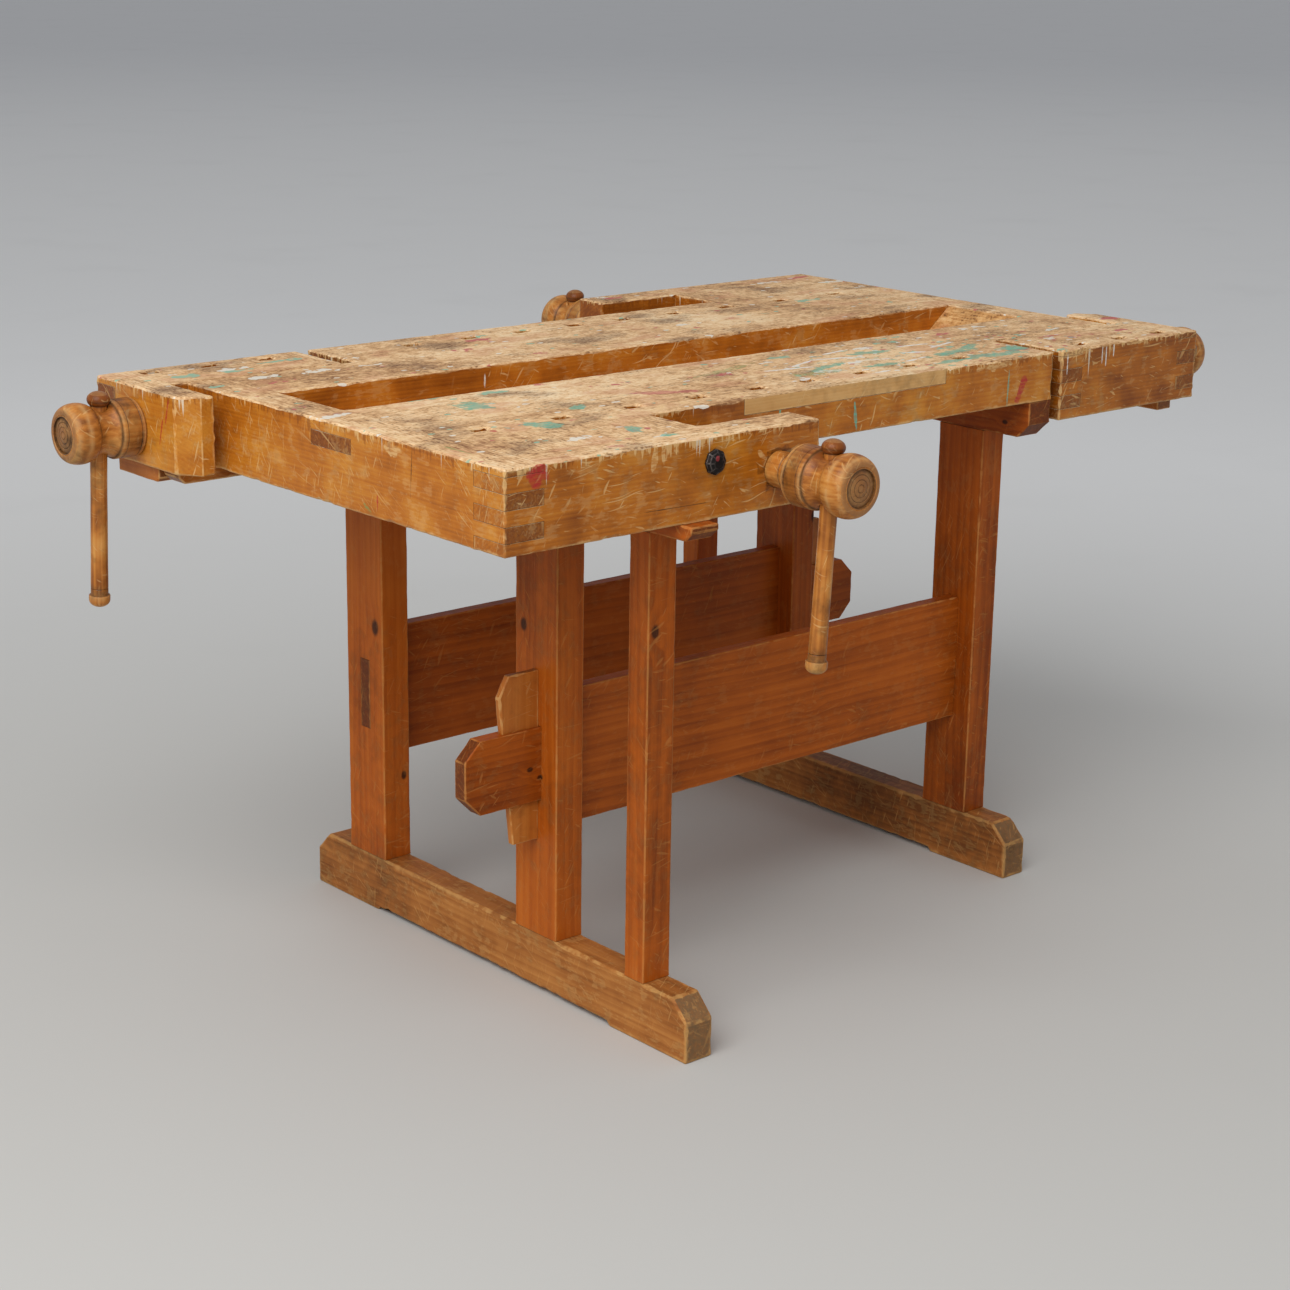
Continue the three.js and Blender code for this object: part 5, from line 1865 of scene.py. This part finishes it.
@dataclass
class TailVise:
    """A tail vise: finger-jointed box, cover, key, runner, cleat, nut, screw, bar and knob."""

    side: Side
    screw_place: Point = (759.8, -232.0, 745.0)
    front_bar_tilt: float = -72.0
    back_bar_tilt: float = 4.3
    tip: float = -260.0
    groove: tuple[float, float] = (-28.8, -17.8)
    groove_radius: float = 18.0
    thread: tuple[float, float] = (-256.0, -64.0)

    def build(self, near: Neighbours, dresser: Dresser) -> None:
        """Makes the vise.

        Args:
            near: Finds the neighbours.
            dresser: Where materials come from.
        """
        word = self.side.word
        Board(f"{word}_tail_board", Grain.X, BENCH_WOOD, 2.2, 4.5, 8.0, tone=-0.12).build(near, dresser)
        # Painted shade: the jaw's tone of -0.3 paints it darker, for the shadow in the gap beside the slab's
        # end.
        Board(f"{word}_tail_jaw", Grain.Y, BENCH_WOOD, 2.0, 3.0, 8.0, (0.6, 0.6), -0.3).build(near, dresser)
        shares = (1.0, 0.2) if self.side is Side.FRONT else (0.2, 1.0)
        Board(f"{word}_tail_head", Grain.Y, BENCH_WOOD, 3.0, 1.2, 8.0, shares, 0.2).build(near, dresser)
        Board(f"{word}_tail_cover", Grain.X, TOP_WOOD, 1.6, 2.5).build(near, dresser)
        Board(f"{word}_tail_nut", Grain.Y, BENCH_WOOD, 1.2, 1.0).build(near, dresser)
        Board(f"{word}_tail_runner", Grain.X, BENCH_WOOD, 1.8, 2.0).build(near, dresser)
        Board(f"{word}_tail_cleat", Grain.Y, WEDGE_WOOD, 1.8, 2.0).build(near, dresser)
        Board(f"{word}_tail_key", Grain.Z, WEDGE_WOOD, 0.9, 0.6).build(near, dresser)
        core = Turning.THREAD_CORE
        start, stop = self.thread
        inner, outer = self.groove
        shaft = [(self.tip, 0.0), (self.tip, core - 3.0), (self.tip + 3.0, core), (stop + 2.0, core)]
        shaft += [(stop + 6.0, 23.0), (inner, 23.0), (inner, self.groove_radius)]
        shaft += [(outer, self.groove_radius), (outer, 23.0), (-17.0, 23.0)]
        tilt = math.radians(self.front_bar_tilt if self.side is Side.FRONT else self.back_bar_tilt)
        ViseScrew(
            name="tail",
            side=self.side,
            origin=self.screw_place,
            outward=Vector((1.0, 0.0, 0.0)),
            up=Vector((0.0, math.sin(tilt), math.cos(tilt))),
            shaft=shaft,
            thread=(start, stop),
        ).build(dresser)


@dataclass
class Studio:
    """The floor, the light and the camera."""

    floor_reach: float = 90.0
    floor_heart: Point = (-2.2, -1.7, 0.0)
    floor_near: Colour = field(default_factory=lambda: tint(196, 195, 191))
    # Painted light: the mid and far floor colours are paler than the floor near the bench, to make up for the
    # panel's falloff.
    floor_mid: Colour = field(default_factory=lambda: tint(242, 242, 242))
    floor_far: Colour = field(default_factory=lambda: tint(214, 215, 218))
    backdrop: Colour = field(default_factory=lambda: tint(166, 167, 171))
    sky: float = 0.44
    panel_way: Point = (-0.64, -0.34, 0.69)
    panel_far: float = 5.2
    panel_size: float = 4.2
    panel_power: float = 218.0
    eye: Point = (-2.4263, -2.6877, 1.4141)
    yaw: float = 48.71
    pitch: float = 16.19
    roll: float = 0.87
    focal_pixels: float = 2561.42
    image_pixels: float = 1290.0
    sensor: float = 36.0

    def build(self) -> None:
        """Makes the floor, the light and the camera."""
        self._floor()
        self._light()
        self._camera()

    def _floor(self) -> None:
        """A wide plain floor, painted paler away from the bench as painted light that makes up for the
        panel's falloff.
        """
        shape = bmesh.new()
        bmesh.ops.create_circle(shape, cap_ends=True, segments=96, radius=self.floor_reach)
        floor = mesh_object("studio_floor", shape)
        sheet = Sheet("grey_studio_floor")
        place = sheet.place()
        away = sheet.length(sheet.moved(place, self.floor_heart, (0.0, 0.0, 0.0), (1.0, 1.0, 1.0)))
        smudge = sheet.noise(place, (2.0, 2.0, 2.0), 4.0)
        # Painted light: the floor turns paler with distance from floor_heart, standing in for the panel's
        # light.
        colour = sheet.blend(away.step(2.7, 6.5), self.floor_near, self.floor_mid)
        colour = sheet.blend(away.step(9.0, 26.0), colour, self.floor_far)
        colour = sheet.blend(smudge.step(0.5, 0.85) * 0.05, colour, tint(150, 150, 148))
        shader = {"Base Color": colour, "Roughness": 0.75 + (smudge - 0.5) * 0.1}
        floor.data.materials.append(sheet.finish(shader, smudge, 0.0001))

    def _light(self) -> None:
        """Even light all round and one broad soft panel at the upper left."""
        scene = bpy.context.scene
        scene.view_settings.view_transform = "Standard"
        world = bpy.data.worlds.new("studio_air")
        scene.world = world
        world.use_nodes = True
        nodes, links = world.node_tree.nodes, world.node_tree.links
        nodes.clear()
        rays = nodes.new("ShaderNodeLightPath")
        seen = nodes.new("ShaderNodeMath")
        seen.operation = "MAXIMUM"
        through = nodes.new("ShaderNodeMath")
        through.operation = "MAXIMUM"
        links.new(rays.outputs["Is Camera Ray"], seen.inputs[0])
        links.new(rays.outputs["Is Glossy Ray"], seen.inputs[1])
        links.new(seen.outputs[0], through.inputs[0])
        links.new(rays.outputs["Is Transmission Ray"], through.inputs[1])
        lit, shown = (nodes.new("ShaderNodeBackground") for _ in range(2))
        lit.inputs["Color"].default_value = (0.97, 0.985, 1.0, 1.0)
        lit.inputs["Strength"].default_value = self.sky
        shown.inputs["Color"].default_value = (*self.backdrop, 1.0)
        mix = nodes.new("ShaderNodeMixShader")
        out = nodes.new("ShaderNodeOutputWorld")
        links.new(through.outputs[0], mix.inputs[0])
        links.new(lit.outputs[0], mix.inputs[1])
        links.new(shown.outputs[0], mix.inputs[2])
        links.new(mix.outputs[0], out.inputs["Surface"])
        panel = bpy.data.lights.new("soft_panel", "AREA")
        panel.shape, panel.size, panel.energy = "SQUARE", self.panel_size, self.panel_power
        lamp = bpy.data.objects.new("soft_panel", panel)
        way = Vector(self.panel_way).normalized()
        lamp.location = Vector((0.0, 0.0, 0.5)) + way * self.panel_far
        lamp.rotation_euler = way.to_track_quat("Z", "Y").to_euler()
        scene.collection.objects.link(lamp)

    def _camera(self) -> None:
        """The camera at the photograph's place."""
        yaw, pitch, roll = (math.radians(a) for a in (self.yaw, self.pitch, self.roll))
        ahead = Vector((
            math.cos(yaw) * math.cos(pitch), math.sin(yaw) * math.cos(pitch), -math.sin(pitch)
        ))
        right = Vector((math.sin(yaw), -math.cos(yaw), 0.0))
        above = right.cross(ahead)
        across = right * math.cos(roll) + above * math.sin(roll)
        upward = above * math.cos(roll) - right * math.sin(roll)
        turn = Matrix((across, upward, -ahead)).transposed().to_4x4()
        data = bpy.data.cameras.new("camera")
        data.sensor_width = self.sensor
        data.lens = self.focal_pixels / self.image_pixels * self.sensor
        data.clip_end = 300.0
        camera = bpy.data.objects.new("camera", data)
        camera.matrix_world = Matrix.Translation(self.eye) @ turn
        bpy.context.scene.collection.objects.link(camera)
        bpy.context.scene.camera = camera


def main() -> None:
    """Builds the bench's looks in order."""
    logging.basicConfig(level=logging.INFO, format="%(name)s: %(message)s")
    Studio().build()
    near, dresser = Neighbours(), Dresser()
    # Painted shade: the right trestle's tone of 0.16 paints its pine darker, as if it stood in shadow.
    for end, tone in (("left", 0.0), ("right", 0.16)):
        Trestle(end, tone).build(near, dresser)
    Stretchers().build(near, dresser)
    Top().build(near, dresser)
    for side in Side:
        ShoulderVise(side).build(near, dresser)
        TailVise(side).build(near, dresser)


if __name__ == "__main__":
    main()
